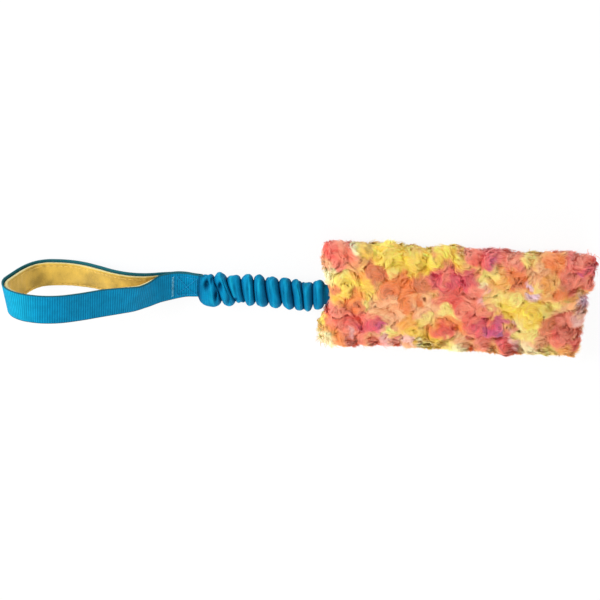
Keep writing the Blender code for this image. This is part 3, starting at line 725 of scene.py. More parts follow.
class StrapLine:
    """The middle of the strap's thickness, with its directions, by distance along it from the lower tail's end."""

    def __init__(self):
        reach = tail_end_x - neck_start_x
        lower = [
            Vector((tail_end_x - share * reach, 0.0,
                    bungee_z - neck_dip * math.sin(math.pi * share) ** 2 - tails_thickness / 2))
            for share in neck_shares
        ]
        upper = [point + Vector((0.0, 0.0, tails_thickness)) for point in reversed(lower)]
        loop = [
            Vector((neck_start_x - away * loop_length, 0.0, up * loop_height))
            for away, up in loop_shares
        ]
        outer = np.array(spline_through(lower + loop + upper, 12))
        along = unit(np.gradient(outer, axis=0))
        inward = np.stack([along[:, 2], np.zeros(len(along)), -along[:, 0]], axis=1)
        middle = outer + inward * webbing_thickness / 2
        steps = np.linalg.norm(np.diff(middle, axis=0), axis=1)
        self.distance = np.concatenate([[0.0], np.cumsum(steps)])
        self.length = self.distance[-1]
        self.middle = middle + np.array([0.0, bungee_y, 0.0])
        self.inward = inward
        self.tip_distance = self.distance[np.argmin(middle[:, 0])]

    def at(self, distance, across, depth):
        """Points at distances along the strap, across it, and into the loop by depth from its middle."""
        distance = np.asarray(distance, float)
        across = np.asarray(across, float)[..., None]
        columns = [np.interp(distance, self.distance, self.middle[:, axis]) for axis in range(3)]
        place = np.stack(columns, axis=-1)
        inward = unit(np.stack([np.interp(distance, self.distance, self.inward[:, axis]) for axis in range(3)], -1))
        upper = distance > self.tip_distance
        roll = np.where(
            upper, np.interp(place[..., 0] / MM, *zip(*upper_rolls)), np.interp(place[..., 0] / MM, *zip(*lower_rolls))
        )
        roll = np.radians(roll)[..., None]
        signed = np.where(upper[..., None], -roll, roll)
        straight = np.array([0.0, 1.0, 0.0])
        side = straight * np.cos(signed) + inward * np.sin(signed)
        facing = inward * np.cos(signed) - straight * np.sin(signed)
        # The upper run turns about its -Y edge, and the lower run shifts to the +Y side as it turns
        rise = np.where(upper[..., None], webbing_width / 2 * np.sin(roll), webbing_width / 4 * np.sin(roll))
        shift = np.where(upper[..., None], 0.0, roll_shift * roll / math.radians(15))
        place = place + straight * shift + np.array([0.0, 0.0, 1.0]) * rise
        # At the tip the -Y edge lies further back than the +Y edge
        near_tip = np.clip((strap_low.x + tip_skew_length - place[..., :1]) / tip_skew_length, 0.0, 1.0) ** 1.4
        back = tip_skew * near_tip * np.clip(0.5 - across / webbing_width, 0.0, 1.0)
        drawn = np.clip((place[..., :1] - neck_draw_start) / neck_draw_length, 0.0, 1.0)
        drawn = neck_draw * drawn * drawn * (3 - 2 * drawn)
        across = np.where(across < 0, across * (1.0 - drawn), across)
        place = place + np.array([1.0, 0.0, 0.0]) * back
        return place + side * across + facing * np.asarray(depth, float)[..., None]

    def distance_at(self, x, upper):
        """The distance at which a tail passes x."""
        half = len(self.distance) // 2
        part = slice(half, None) if upper else slice(0, half)
        xs, distances = self.middle[part, 0], self.distance[part]
        order = np.argsort(xs)
        return float(np.interp(x, xs[order], distances[order]))


strap_line = StrapLine()
# How far the dark teal of the woven edge reaches in from the side, and over what distance it begins; that dark teal is
# partly the selvedge's own colour and partly painted shade
edge_reach = 0.9 * MM
edge_shade = 0.3 * MM
# How far under the lining's edge the strap's inner face is painted with shade
beside_reach = 2.2 * MM
# How much of the width the rounded edges take, and in how many columns each face is cut
webbing_edge = 0.9 * MM
lining_edge = 1.3 * MM
face_columns = 12
thread_blue = "#168ABC"
# Where a highlight is painted on the strap, near its tip: distance beyond the tip, and how far it reaches
highlight_place = 20.0 * MM
highlight_reach = 19.0 * MM


def band_profile(width, thickness, edge, columns):
    """Corners of a flat band's section, as arrays of across and depth round it, closed on itself."""
    half = width / 2
    face = np.linspace(-half + edge, half - edge, columns)
    edge_across = np.array([0.35, 0.85, 1.0, 0.85, 0.35]) * edge + half - edge
    edge_depth = np.array([0.5, 0.36, 0.0, -0.36, -0.5]) * thickness
    across = np.concatenate([face, edge_across, face[::-1], -edge_across, face[:1]])
    depth = np.concatenate([
        np.full(columns, thickness / 2), edge_depth, np.full(columns, -thickness / 2), -edge_depth,
        [thickness / 2],
    ])
    return across, depth


def band(name, start, end, rows, section, offset, relief, material, body):
    """A band along the strap line between two distances, offset into the loop, with a relief on its faces."""
    across, depth = section
    count = len(across) - 1
    stops = np.linspace(0.0, 1.0, count + 1)

    def place(u, v):
        distance = start + (end - start) * v
        side = np.interp(u, stops, across)
        deep = np.interp(u, stops, depth)
        return strap_line.at(distance, side, offset + deep + relief(side, deep, distance))

    def measure(u, v):
        return np.stack([np.interp(u, stops, across), start + (end - start) * v], axis=1)

    def painted_shading(u, v):
        side = np.abs(np.interp(u, stops, across))
        edge = np.clip((side - across.max() + edge_reach) / edge_shade, 0.0, 1.0)
        # Beside the lining the inner face is painted as dark as the edge: painted shade under the lining's edge
        beside = (np.interp(u, stops, depth) > 0) & (side > lining_width / 2 - beside_reach)
        edge = np.where(beside, 1.0, edge)
        # A painted highlight near the strap's tip
        away = start + (end - start) * v - strap_line.tip_distance - highlight_place
        painted_highlight = np.exp(-((away / highlight_reach) ** 2))
        return np.maximum(unpainted_level * (1.0 - painted_highlight), edge)

    bm = placed_grid(count, rows, place, measure, painted_shading)
    bmesh.ops.holes_fill(bm, edges=[edge for edge in bm.edges if edge.is_boundary], sides=0)
    piece = mesh_piece(name, bm)
    piece.data.materials.append(material)
    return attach(piece, body)


class TUGTOY_OT_hand_strap(bpy.types.Operator):
    """Makes the ribbed webbing of the hand loop"""

    bl_idname = "tugtoy.hand_strap"
    bl_label = "Hand Strap"

    def execute(self, context):
        handle = context.scene.tug_toy_handle
        section = band_profile(webbing_width, webbing_thickness, webbing_edge, face_columns)

        def ribs(side, deep, distance):
            wave = np.abs(np.sin(math.pi * distance / handle.rib_pitch)) ** 1.3
            flat = np.clip((webbing_width / 2 - np.abs(side)) / (1.2 * MM), 0.0, 1.0)
            return np.sign(deep) * handle.rib_height * (wave - 1.0) * flat

        rows = int(strap_line.length / handle.rib_pitch * 5)
        strap = band(
            "hand_strap", 0.0, strap_line.length, rows, section, 0.0, ribs, webbing_material(), "handle"
        )
        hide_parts("handle_webbing")
        return {"FINISHED"}


class TUGTOY_OT_strap_lining(bpy.types.Operator):
    """Makes the fleece lining inside the hand loop"""

    bl_idname = "tugtoy.strap_lining"
    bl_label = "Strap Lining"

    def execute(self, context):
        section = band_profile(lining_width, lining_thickness, lining_edge, face_columns)
        first_x = neck_start_x - lining_end_room
        start = strap_line.distance_at(first_x, False)
        end = strap_line.distance_at(first_x, True)

        def puckers(side, deep, distance):
            points = np.stack([side, np.zeros_like(side), distance], axis=1)
            swell = ripple(points, 26 * MM, 3) * 0.40 * MM + ripple(points, 7 * MM, 4) * 0.12 * MM
            # The fleece is squeezed thin where the two runs meet
            to_end = np.minimum(distance - start, end - distance) / (12 * MM)
            thin = 1.0 - np.clip(to_end, 0.0, 1.0)
            squeezed = -thin * 0.6 * (deep + lining_thickness / 2)
            return np.where(deep > 0, swell * (1.0 - thin), 0.0) + squeezed

        rows = int((end - start) / (1.2 * MM))
        depth = webbing_thickness / 2 + layer_gap + lining_thickness / 2
        lining = band(
            "strap_lining", start, end, rows, section, depth, puckers, fleece_material(), "handle"
        )
        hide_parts("handle_lining")
        return {"FINISHED"}


def stitch_row(start, end, length, lift, surface):
    """Lines of the stitches along a straight row on a surface. Each rises out of its hole and dips into the next."""
    start, end = np.array(start), np.array(end)
    span = np.linalg.norm(end - start)
    count = max(1, round(span / length))
    rise = ((0.06, -0.6), (0.18, 0.5), (0.5, 0.9), (0.82, 0.5), (0.94, -0.6))
    lines = []
    for k in range(count):
        lines.append([
            surface(start + (end - start) * (k + share) / count, height * lift) for share, height in rise
        ])
    return lines


class TUGTOY_OT_stitching(bpy.types.Operator):
    """Makes the stitches along the lining and the box of stitches on the neck"""

    bl_idname = "tugtoy.stitching"
    bl_label = "Stitching"

    def execute(self, context):
        handle = context.scene.tug_toy_handle
        radius = handle.thread_diameter / 2
        blue = thread_material("blue_nylon_thread", thread_blue)
        gold = thread_material("gold_nylon_thread", "#E0BE66")
        first_x = neck_start_x - lining_stop - 2 * handle.stitch_length
        start = strap_line.distance_at(first_x, False)
        end = strap_line.distance_at(first_x, True)
        depth = webbing_thickness / 2 + layer_gap + lining_thickness
        for node in ("lining_stitch_left", "lining_stitch_right"):
            low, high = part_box(node)
            inset = (high.y + low.y - 2 * bungee_y) / 2

            def on_lining(point, height, inset=inset):
                return strap_line.at(np.array(point[0]), np.array(inset), np.array(depth + height))

            lines = stitch_row((start, 0.0), (end, 0.0), handle.stitch_length, 0.5 * radius, on_lining)
            row = thread_piece(node + "_thread", lines, radius, gold)
            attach(row, "handle")
            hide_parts(node)
        self.neck(context, blue, radius)
        return {"FINISHED"}

    def neck(self, context, material, radius):
        """The box with its cross and the bar tack, on both faces of the neck."""
        handle = context.scene.tug_toy_handle
        low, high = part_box("neck_box_needle_thread")
        tack_low, tack_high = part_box("neck_bar_tack_upper")
        left, right = low.x + radius, high.x - radius
        half = (high.y - low.y) / 2 - radius
        box = (
            ((left, -half), (left, half)), ((left, half), (right, half)), ((right, half), (right, -half)),
            ((right, -half), (left, -half)), ((left, -half), (right, half)), ((left, half), (right, -half)),
        )
        tack_x = (tack_low.x + tack_high.x) / 2
        # The tack lies dense, and its thread is painted paler than the box's, as painted sheen
        dense = thread_material("blue_nylon_thread_painted_sheen", "#8AD4EA")
        passes, swing = 30, 0.8 * MM
        turns = [tack_x + (swing if k % 2 else -swing) for k in range(passes)]
        satin = [(x, -half + 2 * half * k / (passes - 1)) for k, x in enumerate(turns)]
        for upper, box_node, tack_node in (
            (True, "neck_box_needle_thread", "neck_bar_tack_upper"),
            (False, "neck_box_bobbin_thread", "neck_bar_tack_lower"),
        ):
            def on_neck(point, height, upper=upper):
                distance = strap_line.distance_at(point[0], upper)
                outward = -(webbing_thickness / 2 + height)
                return strap_line.at(np.array(distance), np.array(point[1]), np.array(outward))

            lines = []
            for a, b in box:
                lines += stitch_row(a, b, handle.stitch_length, radius, on_neck)
            rows = thread_piece(box_node + "_stitches", lines, radius, material)
            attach(rows, "handle")
            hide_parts(box_node)
            line = [on_neck(point, 0.7 * radius) for point in satin]
            tack = thread_piece(tack_node + "_stitches", [line], radius, dense)
            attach(tack, "handle")
            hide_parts(tack_node)


# Gathered sleeve


fold_count = len(far_crests)
sleeve_end_x = sleeve_high.x
# Where the second, shallow groove of each fold lies, and how deep it is in millimetres
fold_grooves = np.array((
    (0.60, 0.0), (0.66, 0.9), (0.58, 0.5), (0.42, 0.9), (0.34, 1.0),
    (0.30, 0.9), (0.36, 0.8), (0.66, 0.8), (0.30, 0.7), (0.34, 1.0),
))
# How far each fold bows along X in its middle, in millimetres
fold_bows = np.array((0.0, 1.6, -1.4, 0.9, -1.1, 0.8, -0.7, 1.1, -0.9, 0.6)) * MM


def fold_stops(crests):
    """Places of the valleys and crests in turn, from the strap's mouth to the pad's mouth."""
    valleys = np.concatenate([[mouth_x], (crests[1:] + crests[:-1]) / 2, [sleeve_end_x]])
    stops = np.empty(2 * len(crests) + 1)
    stops[0::2] = valleys
    stops[1::2] = crests
    return stops


def sleeve_surface(phase, angle):
    """Points of the sleeve's outside, their outward directions, and their painted light and shade. A whole phase is a
    valley, and one and a half is the second fold's crest.
    """
    sleeve = bpy.context.scene.tug_toy_sleeve
    places = np.arange(2 * fold_count + 1) / 2
    crest_places = np.arange(fold_count) + 0.5
    far_x = np.interp(phase, places, fold_stops(far_crests))
    near_x = np.interp(phase, places, fold_stops(near_crests))
    t = phase - np.floor(np.minimum(phase, fold_count - 1e-6))
    # The last fold drops quickly where it goes into the pad
    t = np.where(phase > fold_count - 0.5, np.minimum(0.5 + (t - 0.5) * 2.8, 1.0), t)
    tail = phase > fold_count - 0.34
    rise = np.clip(1.0 - (np.abs(2 * t - 1) / 0.97) ** 2.3, 0.0, 1.0) ** 0.56
    far = np.interp(phase, crest_places, far_reaches)
    near = np.interp(phase, crest_places, near_reaches)
    tall = np.interp(phase, crest_places, crest_heights)
    cosine, sine = np.cos(angle), np.sin(angle)
    mouth = np.clip(1.0 - phase / 0.5, 0.0, 1.0)
    lip = webbing_width / 2 * np.where(cosine > 0, 1.0, 1.0 - neck_draw) + 0.9 * MM
    low_width = sleeve.valley_width + mouth * (lip - sleeve.valley_width)
    low_height = sleeve.valley_height + mouth * (tails_thickness / 2 + 0.6 * MM - sleeve.valley_height)
    end = np.clip((phase - (fold_count - 0.5)) / 0.5, 0.0, 1.0) ** 2
    low_width = low_width * (1.0 - 0.15 * end)
    filled = sum(fill * np.clip(1.0 - np.abs(phase - place) / 0.5, 0.0, 1.0) for place, fill in near_joins)
    low_width = low_width + np.where(cosine > 0, 0.0, filled)
    reach = np.where(cosine > 0, far, near)
    wide = low_width + (reach - low_width) * rise
    high = low_height + (tall - low_height) * rise
    across = np.sign(cosine) * np.abs(cosine) ** 0.82
    up = np.sign(sine) * np.abs(sine) ** 0.90
    share = (across + 1.0) / 2
    bow = np.interp(phase, crest_places, fold_bows) * np.clip(np.minimum(phase, fold_count - phase), 0.0, 1.0)
    x = near_x + (far_x - near_x) * share + bow * (1.0 - across**2)
    y = bungee_y + wide * across
    z = bungee_z + high * up
    points = np.stack([x, y, z], axis=1)
    outward = unit(np.stack([np.zeros_like(x), across * wide, up * high], axis=1))
    # Cloth is never even: it wanders in and out, more at the crests
    wander = ripple(points, 15 * MM, 11) * 0.45 * MM + ripple(points, 6 * MM, 12) * 0.18 * MM
    points += outward * (wander * (0.3 + 0.7 * rise))[:, None]
    fold = np.minimum(np.floor(phase).astype(int), fold_count - 1)
    middle, deep = fold_grooves[fold].T
    groove = np.exp(-(((t - middle) / 0.085) ** 2)) * deep * np.clip(np.abs(up) * 1.5 - 0.4, 0.0, 1.0)
    points -= outward * (groove * MM)[:, None]
    # Painted shade: towards the pad the painted shade between the folds is wider and deeper, and the tail is painted
    # darker towards the pad
    spread = np.clip((fold - 2.0) / 4.0, 0.0, 1.0)
    valley = np.clip(1.22 + 0.20 * spread - rise * 1.45, 0.0, 1.0)
    valley = np.where(tail, np.clip((points[:, 0] / MM - 18.5) / 8.5, 0.15, 0.90), valley)
    # Painted shade on the side of each fold that faces the pad, away from the key lamp
    lee = np.where(tail, 0.0, (0.28 + 0.40 * spread) * np.clip((t - 0.56) / 0.30, 0.0, 1.0))
    # Painted shade also in each fold's groove
    painted_shading = np.maximum(np.maximum(valley, lee), 0.34 * groove)
    for hollow_x, hollow_y, long, broad, deep in sleeve_hollows:
        off_x = (points[:, 0] / MM - hollow_x) / long
        off_y = ((points[:, 1] - bungee_y) / MM - hollow_y) / broad
        dent = np.exp(-off_x**2 - off_y**2) * (up > 0)
        points[:, 2] -= dent * deep * MM * np.clip(up * 2, 0, 1)
        # Painted shade in each hollow
        painted_shading = np.maximum(painted_shading, dent * min(1.0, deep / 4.0))
    # A painted highlight along each fold, patchy along its length, where no painted shade lies
    streak = 0.44 + 0.12 * np.sin(fold * 1.9 + 1.0)
    patchy = np.clip(0.62 + 0.45 * ripple(points, 17 * MM, 13), 0.0, 1.0)
    painted_highlight = np.exp(-(((t - streak) / 0.11) ** 2)) * (1.0 - painted_shading) * patchy
    return points, outward, unpainted_level * (1.0 - painted_highlight) + 0.63 * painted_shading


def sleeve_piece(name, first_phase, last_phase, sides=112, rows_per_fold=34):
    """A closed stretch of the sleeve: its outside between two phases, and a plain bore inside."""
    sleeve = bpy.context.scene.tug_toy_sleeve
    pitch = bpy.context.scene.tug_toy_handle.rib_pitch
    outer_rows = int((last_phase - first_phase) * rows_per_fold)
    bore_rows = max(4, outer_rows // 6)
    rows = outer_rows + bore_rows + 2
    # Distance along the cloth, measured over the folds on the upper side
    fine = np.linspace(0.0, fold_count, fold_count * 60 + 1)
    crown, _, _ = sleeve_surface(fine, np.full_like(fine, math.pi / 2))
    cloth = np.concatenate([[0.0], np.cumsum(np.linalg.norm(np.diff(crown, axis=0), axis=1))])
    row_phase = np.concatenate([
        np.linspace(first_phase, last_phase, outer_rows + 1),
        np.linspace(last_phase, first_phase, bore_rows + 1),
        [first_phase],
    ])
    inside = np.concatenate([np.zeros(outer_rows + 1), np.ones(bore_rows + 1), [0.0]])
    stops = np.arange(rows + 1) / rows

    def place(u, v):
        row = np.rint(v * rows).astype(int)
        phase = row_phase[row]
        angle = 2 * math.pi * u
        points, outward, _ = sleeve_surface(phase, angle)
        run = np.interp(phase, fine, cloth)
        wave = np.abs(np.sin(math.pi * run / pitch)) ** 0.7
        points += outward * (sleeve.rib_height * (wave - 0.6))[:, None]
        bore = points.copy()
        bore[:, 1] = bungee_y + (sleeve.valley_width - 0.6 * MM) * np.cos(angle)
        bore[:, 2] = bungee_z + (sleeve.valley_height - 0.6 * MM) * np.sin(angle)
        return np.where(inside[row][:, None] > 0.5, bore, points)

    def measure(u, v):
        row = np.rint(v * rows).astype(int)
        run = np.interp(row_phase[row], fine, cloth)
        return np.stack([u * 2 * webbing_width, run], axis=1)

    # Painted light and shade of the folds, for the material
    def painted_fold_light(u, v):
        row = np.rint(v * rows).astype(int)
        return sleeve_surface(row_phase[row], 2 * math.pi * u)[2]

    bm = placed_grid(sides, rows, place, measure, painted_fold_light)
    piece = mesh_piece(name, bm, angle=math.radians(80))
    piece.data.materials.append(webbing_material("gathered_nylon_webbing", 0.25))
    return piece


class TUGTOY_OT_gathered_sleeve(bpy.types.Operator):
    """Makes the gathered sleeve, in four stretches"""

    bl_idname = "tugtoy.gathered_sleeve"
    bl_label = "Gathered Sleeve"

    def execute(self, context):
        stops = fold_stops((far_crests + near_crests) / 2)
        front = sleeve_piece("sleeve_hand_end", 0.0, 2.0)
        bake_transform(front)
        middle = sleeve_piece("sleeve_stretch", 2.0, 7.0)
        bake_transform(middle)
        rear = sleeve_piece("sleeve_twist", 7.0, 9.0)
        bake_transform(rear)
        last = sleeve_piece("sleeve_pad_end", 9.0, 10.0)
        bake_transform(last)
        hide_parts("bungee_sleeve")
        self.tack(context)
        return {"FINISHED"}

    def tack(self, context):
        """The stitches round the sleeve's end, inside the pad."""
        radius = context.scene.tug_toy_handle.thread_diameter / 2
        low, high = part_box("sleeve_rear_tack")
        last_crest = (far_crests[-1] + near_crests[-1]) / 2
        share = ((low.x + high.x) / 2 - last_crest) / (sleeve_end_x - last_crest)
        # 24 stitches of four points each: two over the cloth, and two in it
        angles = np.linspace(0.0, 2 * math.pi, 24 * 4 + 1)
        points, outward, _ = sleeve_surface(np.full_like(angles, fold_count - 0.5 + share / 2), angles)
        lift = np.where(np.arange(len(angles)) % 4 < 2, 0.8, -0.6) * radius
        blue = thread_material("blue_nylon_thread", thread_blue)
        row = thread_piece("sleeve_tack_stitches", [points + outward * lift[:, None]], radius, blue)
        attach(row, "pad")
        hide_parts("sleeve_rear_tack")


class TUGTOY_OT_flat_elastic(bpy.types.Operator):
    """Makes the flat elastic inside the sleeve"""

    bl_idname = "tugtoy.flat_elastic"
    bl_label = "Flat Elastic"

    def execute(self, context):
        material = elastic_material()
        # The elastic is made in a long stretch, and a short one by the pad
        parting = elastic_high.x - 24 * MM
        stretch = self.band("flat_elastic", elastic_low.x, parting, material)
        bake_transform(stretch)
        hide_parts("bungee_elastic")
        twist = self.band("flat_elastic_end", parting, elastic_high.x, material)
        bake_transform(twist)
        return {"FINISHED"}

    def band(self, name, low_x, high_x, material):
        """A closed stretch of the elastic between two places along X."""
        size = Vector((high_x - low_x, elastic_high.y - elastic_low.y, elastic_high.z - elastic_low.z))
        middle = Vector(((low_x + high_x) / 2, *((elastic_high + elastic_low) / 2).yz))
        bm = bmesh.new()
        bmesh.ops.create_cube(bm, size=1.0)
        bmesh.ops.scale(bm, verts=bm.verts, vec=size)
        for axis, step in ((0, 2.5 * MM), (1, 1.2 * MM)):
            edges = [e for e in bm.edges if abs((e.verts[0].co - e.verts[1].co)[axis]) > size[axis] / 2]
            bmesh.ops.subdivide_edges(bm, edges=edges, cuts=round(size[axis] / step), use_grid_fill=True)
        for vert in bm.verts:
            # Each rubber core is a low ridge along the elastic
            vert.co.z += math.copysign(0.08 * MM * math.cos(math.pi * vert.co.y / (0.5 * MM)), vert.co.z)
        bmesh.ops.translate(bm, verts=bm.verts, vec=middle)
        piece = mesh_piece(name, bm)
        piece.data.materials.append(material)
        return piece


# Fur pad


pad_length = 216.5 * MM
pad_width = panel_high.y - panel_low.y
pad_thickness = panel_high.z
pad_end_slant = 5.5 * MM
pad_side_draw = 2.2 * MM
pad_end_draw = 1.6 * MM
pad_middle_x = pad_front_x + pad_length / 2
edge_height_share = 0.72
edge_tuck_share = 0.12
mouth_depth = 1.3 * MM
mouth_bulge = 3.4 * MM
# The skin's relief never goes lower than this
skin_lowest = -0.9 * MM
# Lowest heights over the floor of the skin, of a lock's middle and of its edges
skin_floor = 0.6 * MM
lock_floor = 0.3 * MM
ribbon_floor = 0.25 * MM
# How far a patch of dye runs, as a share of its radius
dye_spread = 1.4
# How much lighter the dyes are drawn than they are listed, to make up for the shade between the locks
skin_gain = 1.12
skin_deepening = 1.05
pile_gain = 1.26
# A lock's margins in its cell of the bake's map
cell_side = 0.15
cell_low = 0.08
# How many points are compared with all the curls at once
points_at_once = 3000
# The short pile between the locks fills the sides more than the flat parts
side_fill = 2.2 * MM
lower_dye_top = 2.5 * MM
curl_rise = 1.7 * MM
curl_spacing = 17.5 * MM
# Where the pile stands further out of the long sides, or less far: place along X, side, and how far in millimetres
edge_tufts = (
    (22, 1, 0.6), (38, 1, 1.8), (54, 1, 1.8), (72, 1, 4.4), (92, 1, 2.6), (118, 1, 4.6), (137, 1, 1.8),
    (157, 1, 4.2), (178, 1, 1.4), (208, 1, 2.2), (232, 1, 0.8), (18, -1, 2.2), (34, -1, 2.2), (52, -1, 1.4),
    (72, -1, 1.0), (92, -1, 1.2), (110, -1, 2.2), (128, -1, 3.6), (147, -1, 3.0), (167, -1, 4.8), (186, -1, 2.6),
    (204, -1, 2.0), (224, -1, 1.2),
)
# How far the pile stands out of the front, beside the mouth
front_swell = 2.6 * MM


def pillow_point(cube, inset):
    """Points of a unit cube's surface, from -1 to 1, laid on the stuffed pad, smaller by inset."""
    u, v, w = cube.T
    u = np.sin(u * math.pi / 2) * 0.6 + u * 0.4
    v = np.sin(v * math.pi / 2) * 0.7 + v * 0.3
    crown = np.sqrt(np.clip((1.0 - np.abs(u) ** 9) * (1.0 - np.abs(v) ** 5), 0.0, 1.0))
    edge = np.maximum(np.abs(u), np.abs(v))
    tuck = 1.0 - edge_tuck_share * (np.abs(w) * edge) ** 2.2
    side = pad_width / 2 - inset - pad_side_draw * (1.0 - u * u)
    end = pad_length / 2 - inset - pad_end_draw * (1.0 - v * v)
    x = pad_middle_x + u * end * tuck + pad_end_slant * v * (1.0 + u) / 2
    y = v * side * tuck
    z = bungee_z + (pad_thickness / 2 - inset) * w * np.maximum(crown, edge_height_share)
    # The mouth is drawn in round the sleeve, and the skin bulges over the sleeve's end
    near = np.exp(-((y - bungee_y) / (13 * MM)) ** 4 - ((z - bungee_z) / (11 * MM)) ** 4)
    x = x + mouth_depth * near * np.clip(-u * 4 - 3, 0.0, 1.0)
    over = np.exp(-((y - bungee_y) / (17 * MM)) ** 4 - ((x - sleeve_high.x) / (9 * MM)) ** 4)
    z = z + mouth_bulge * over * w
    return np.stack([x, y, z], axis=1)


def all_curl_middles(rng, surface, normals):
    """Middles of all the curls on the pad: those in curl_shares, and more on flat skin that has none yet."""
    middles = []
    for along, across in curl_shares:
        point = np.array((pad_front_x + along * pad_length, across * pad_width, pad_thickness * 0.85))
        middles.append(surface[np.argmin(np.linalg.norm(surface - point, axis=1))])
    flat = surface[np.abs(normals[:, 2]) > 0.75]
    for candidate in flat[rng.permutation(len(flat))]:
        if min(np.linalg.norm(candidate - middle) for middle in middles) > curl_spacing:
            middles.append(candidate)
    return np.array(middles)


def dye_at(points, upper):
    """The dye at points of the pad, as linear colours. The lower side has the same patches, turned round."""
    x = points[:, 0] / MM
    y = points[:, 1] / MM
    x = np.where(upper, x, 2 * pad_middle_x / MM - x)
    warped = np.stack([x, y, np.zeros_like(x)], axis=1)
    x = x + 1.8 * ripple(warped, 13.0, 21) + 1.1 * ripple(warped, 5.0, 22)
    y = y + 1.8 * ripple(warped, 13.0, 23) + 1.1 * ripple(warped, 5.0, 24)
    colour = np.tile(np.array(linear(dyes["base"])[:3]), (len(points), 1))
    for patch_x, patch_y, radius, dye in dye_patches:
        distance = np.hypot(x - patch_x, y - patch_y) / (radius * dye_spread)
        strength = np.clip(1.45 * (1.0 - distance**1.6), 0.0, 1.0)[:, None]
        strength = 0.90 * strength * strength * (3 - 2 * strength)
        colour = colour * (1 - strength) + np.array(linear(dyes[dye])[:3]) * strength
    return colour


def skin_mesh(inset, along, across, up):
    """The pad's closed skin: a cube cut into many faces and laid on the pad's form."""
    bm = bmesh.new()
    bmesh.ops.create_cube(bm, size=2.0)
    for axis, cuts in ((0, along), (1, across), (2, up)):
        lines = [e for e in bm.edges if abs(e.verts[0].co[axis] - e.verts[1].co[axis]) > 1.0]
        bmesh.ops.subdivide_edges(bm, edges=lines, cuts=cuts, use_grid_fill=True)
    cube = np.array([vert.co[:] for vert in bm.verts])
    for vert, point in zip(bm.verts, pillow_point(cube, inset)):
        vert.co = point
    bmesh.ops.smooth_vert(
        bm, verts=bm.verts, factor=0.5, use_axis_x=True, use_axis_y=True, use_axis_z=True
    )
    return bm


def pile_relief(points, normals, index, distance, radius):
    """How far the pile lies over or under its mean: low domes at the curls, with pits in their middles, and billows."""
    strength = np.where(index < len(curl_shares), 1.0, 0.7) * (0.20 + 0.80 * np.abs(normals[:, 2]))
    dome = curl_rise * strength * (0.45 - np.clip(distance / radius, 0.0, 1.0) ** 2)
    pit = 0.3 * MM * strength * np.exp(-((distance / (2.0 * MM)) ** 2))
    billow = 0.40 * MM * ripple(points, 24 * MM, 31) + 0.30 * MM * ripple(points, 9 * MM, 32)
    for place, side, height in edge_tufts:
        along = np.exp(-(((points[:, 0] / MM - place) / 9.0) ** 2))
        billow += height * MM * along * np.clip(side * normals[:, 1], 0.0, 1.0)
    beside_mouth = np.clip(np.abs(points[:, 1]) / (12 * MM) - 1.0, 0.0, 1.0)
    billow += front_swell * beside_mouth * np.clip(-normals[:, 0], 0.0, 1.0)
    return dome - pit + billow


def nearest_curl(points, middles):
    """Index of and distance to the nearest curl's middle, for many points."""
    index = np.empty(len(points), int)
    distance = np.empty(len(points))
    for start in range(0, len(points), points_at_once):
        part = slice(start, start + points_at_once)
        gaps = np.linalg.norm(points[part, None, :] - middles[None, :, :], axis=2)
        index[part] = gaps.argmin(axis=1)
        distance[part] = gaps.min(axis=1)
    return index, distance


def scatter(mesh, count, rng, weights):
    """Random points on a mesh with their normals, by area and by a weight for each face."""
    mesh.calc_loop_triangles()
    triangles = np.empty(len(mesh.loop_triangles) * 3, int)
    mesh.loop_triangles.foreach_get("vertices", triangles)
    triangles = triangles.reshape(-1, 3)
    corners = vertex_rows(mesh, "co")
    normals = vertex_rows(mesh, "normal")
    a, b, c = (corners[triangles[:, k]] for k in range(3))
    area = np.linalg.norm(np.cross(b - a, c - a), axis=1) * weights((a + b + c) / 3)
    chosen = rng.choice(len(area), size=count, p=area / area.sum())
    r1, r2 = np.sqrt(rng.random(count)), rng.random(count)
    mix = np.stack([1 - r1, r1 * (1 - r2), r1 * r2], axis=1)
    corner = triangles[chosen]
    points = (corners[corner] * mix[:, :, None]).sum(axis=1)
    return points, unit((normals[corner] * mix[:, :, None]).sum(axis=1))


lock_steps = 5


def curl_flow(points, normals, middles, radius):
    """Directions in which the pile lies: round the curls and inwards near them, and smoothly from one to the next."""
    flow = np.zeros_like(points)
    outer = np.radians(8.0 + 18.0 * np.abs(np.sin(np.arange(len(middles)) * 1.7)))
    for start in range(0, len(points), points_at_once):
        part = slice(start, start + points_at_once)
        out = points[part, None, :] - middles[None, :, :]
        reach = np.linalg.norm(out, axis=2)
        weight = np.exp(-((reach / radius) ** 2)) + 1e-6 / (1.0 + (reach / radius) ** 4)
        normal = np.broadcast_to(normals[part, None, :], out.shape)
        out = unit(out - normal * (out * normal).sum(axis=2, keepdims=True))
        # The locks close over a curl's middle
        inward = (outer[None, :] + math.radians(60.0) * np.exp(-((reach / (3.2 * MM)) ** 2)))[:, :, None]
        swirl = np.cross(normal, out) * np.cos(inward) - out * np.sin(inward)
        flow[part] = (swirl * weight[:, :, None]).sum(axis=1)
    flow = unit(flow)
    sway = 0.42 * ripple(points, 19 * MM, 41) + 0.58 * ripple(points, 7 * MM, 42)
    return unit(flow * np.cos(sway)[:, None] + np.cross(normals, flow) * np.sin(sway)[:, None])


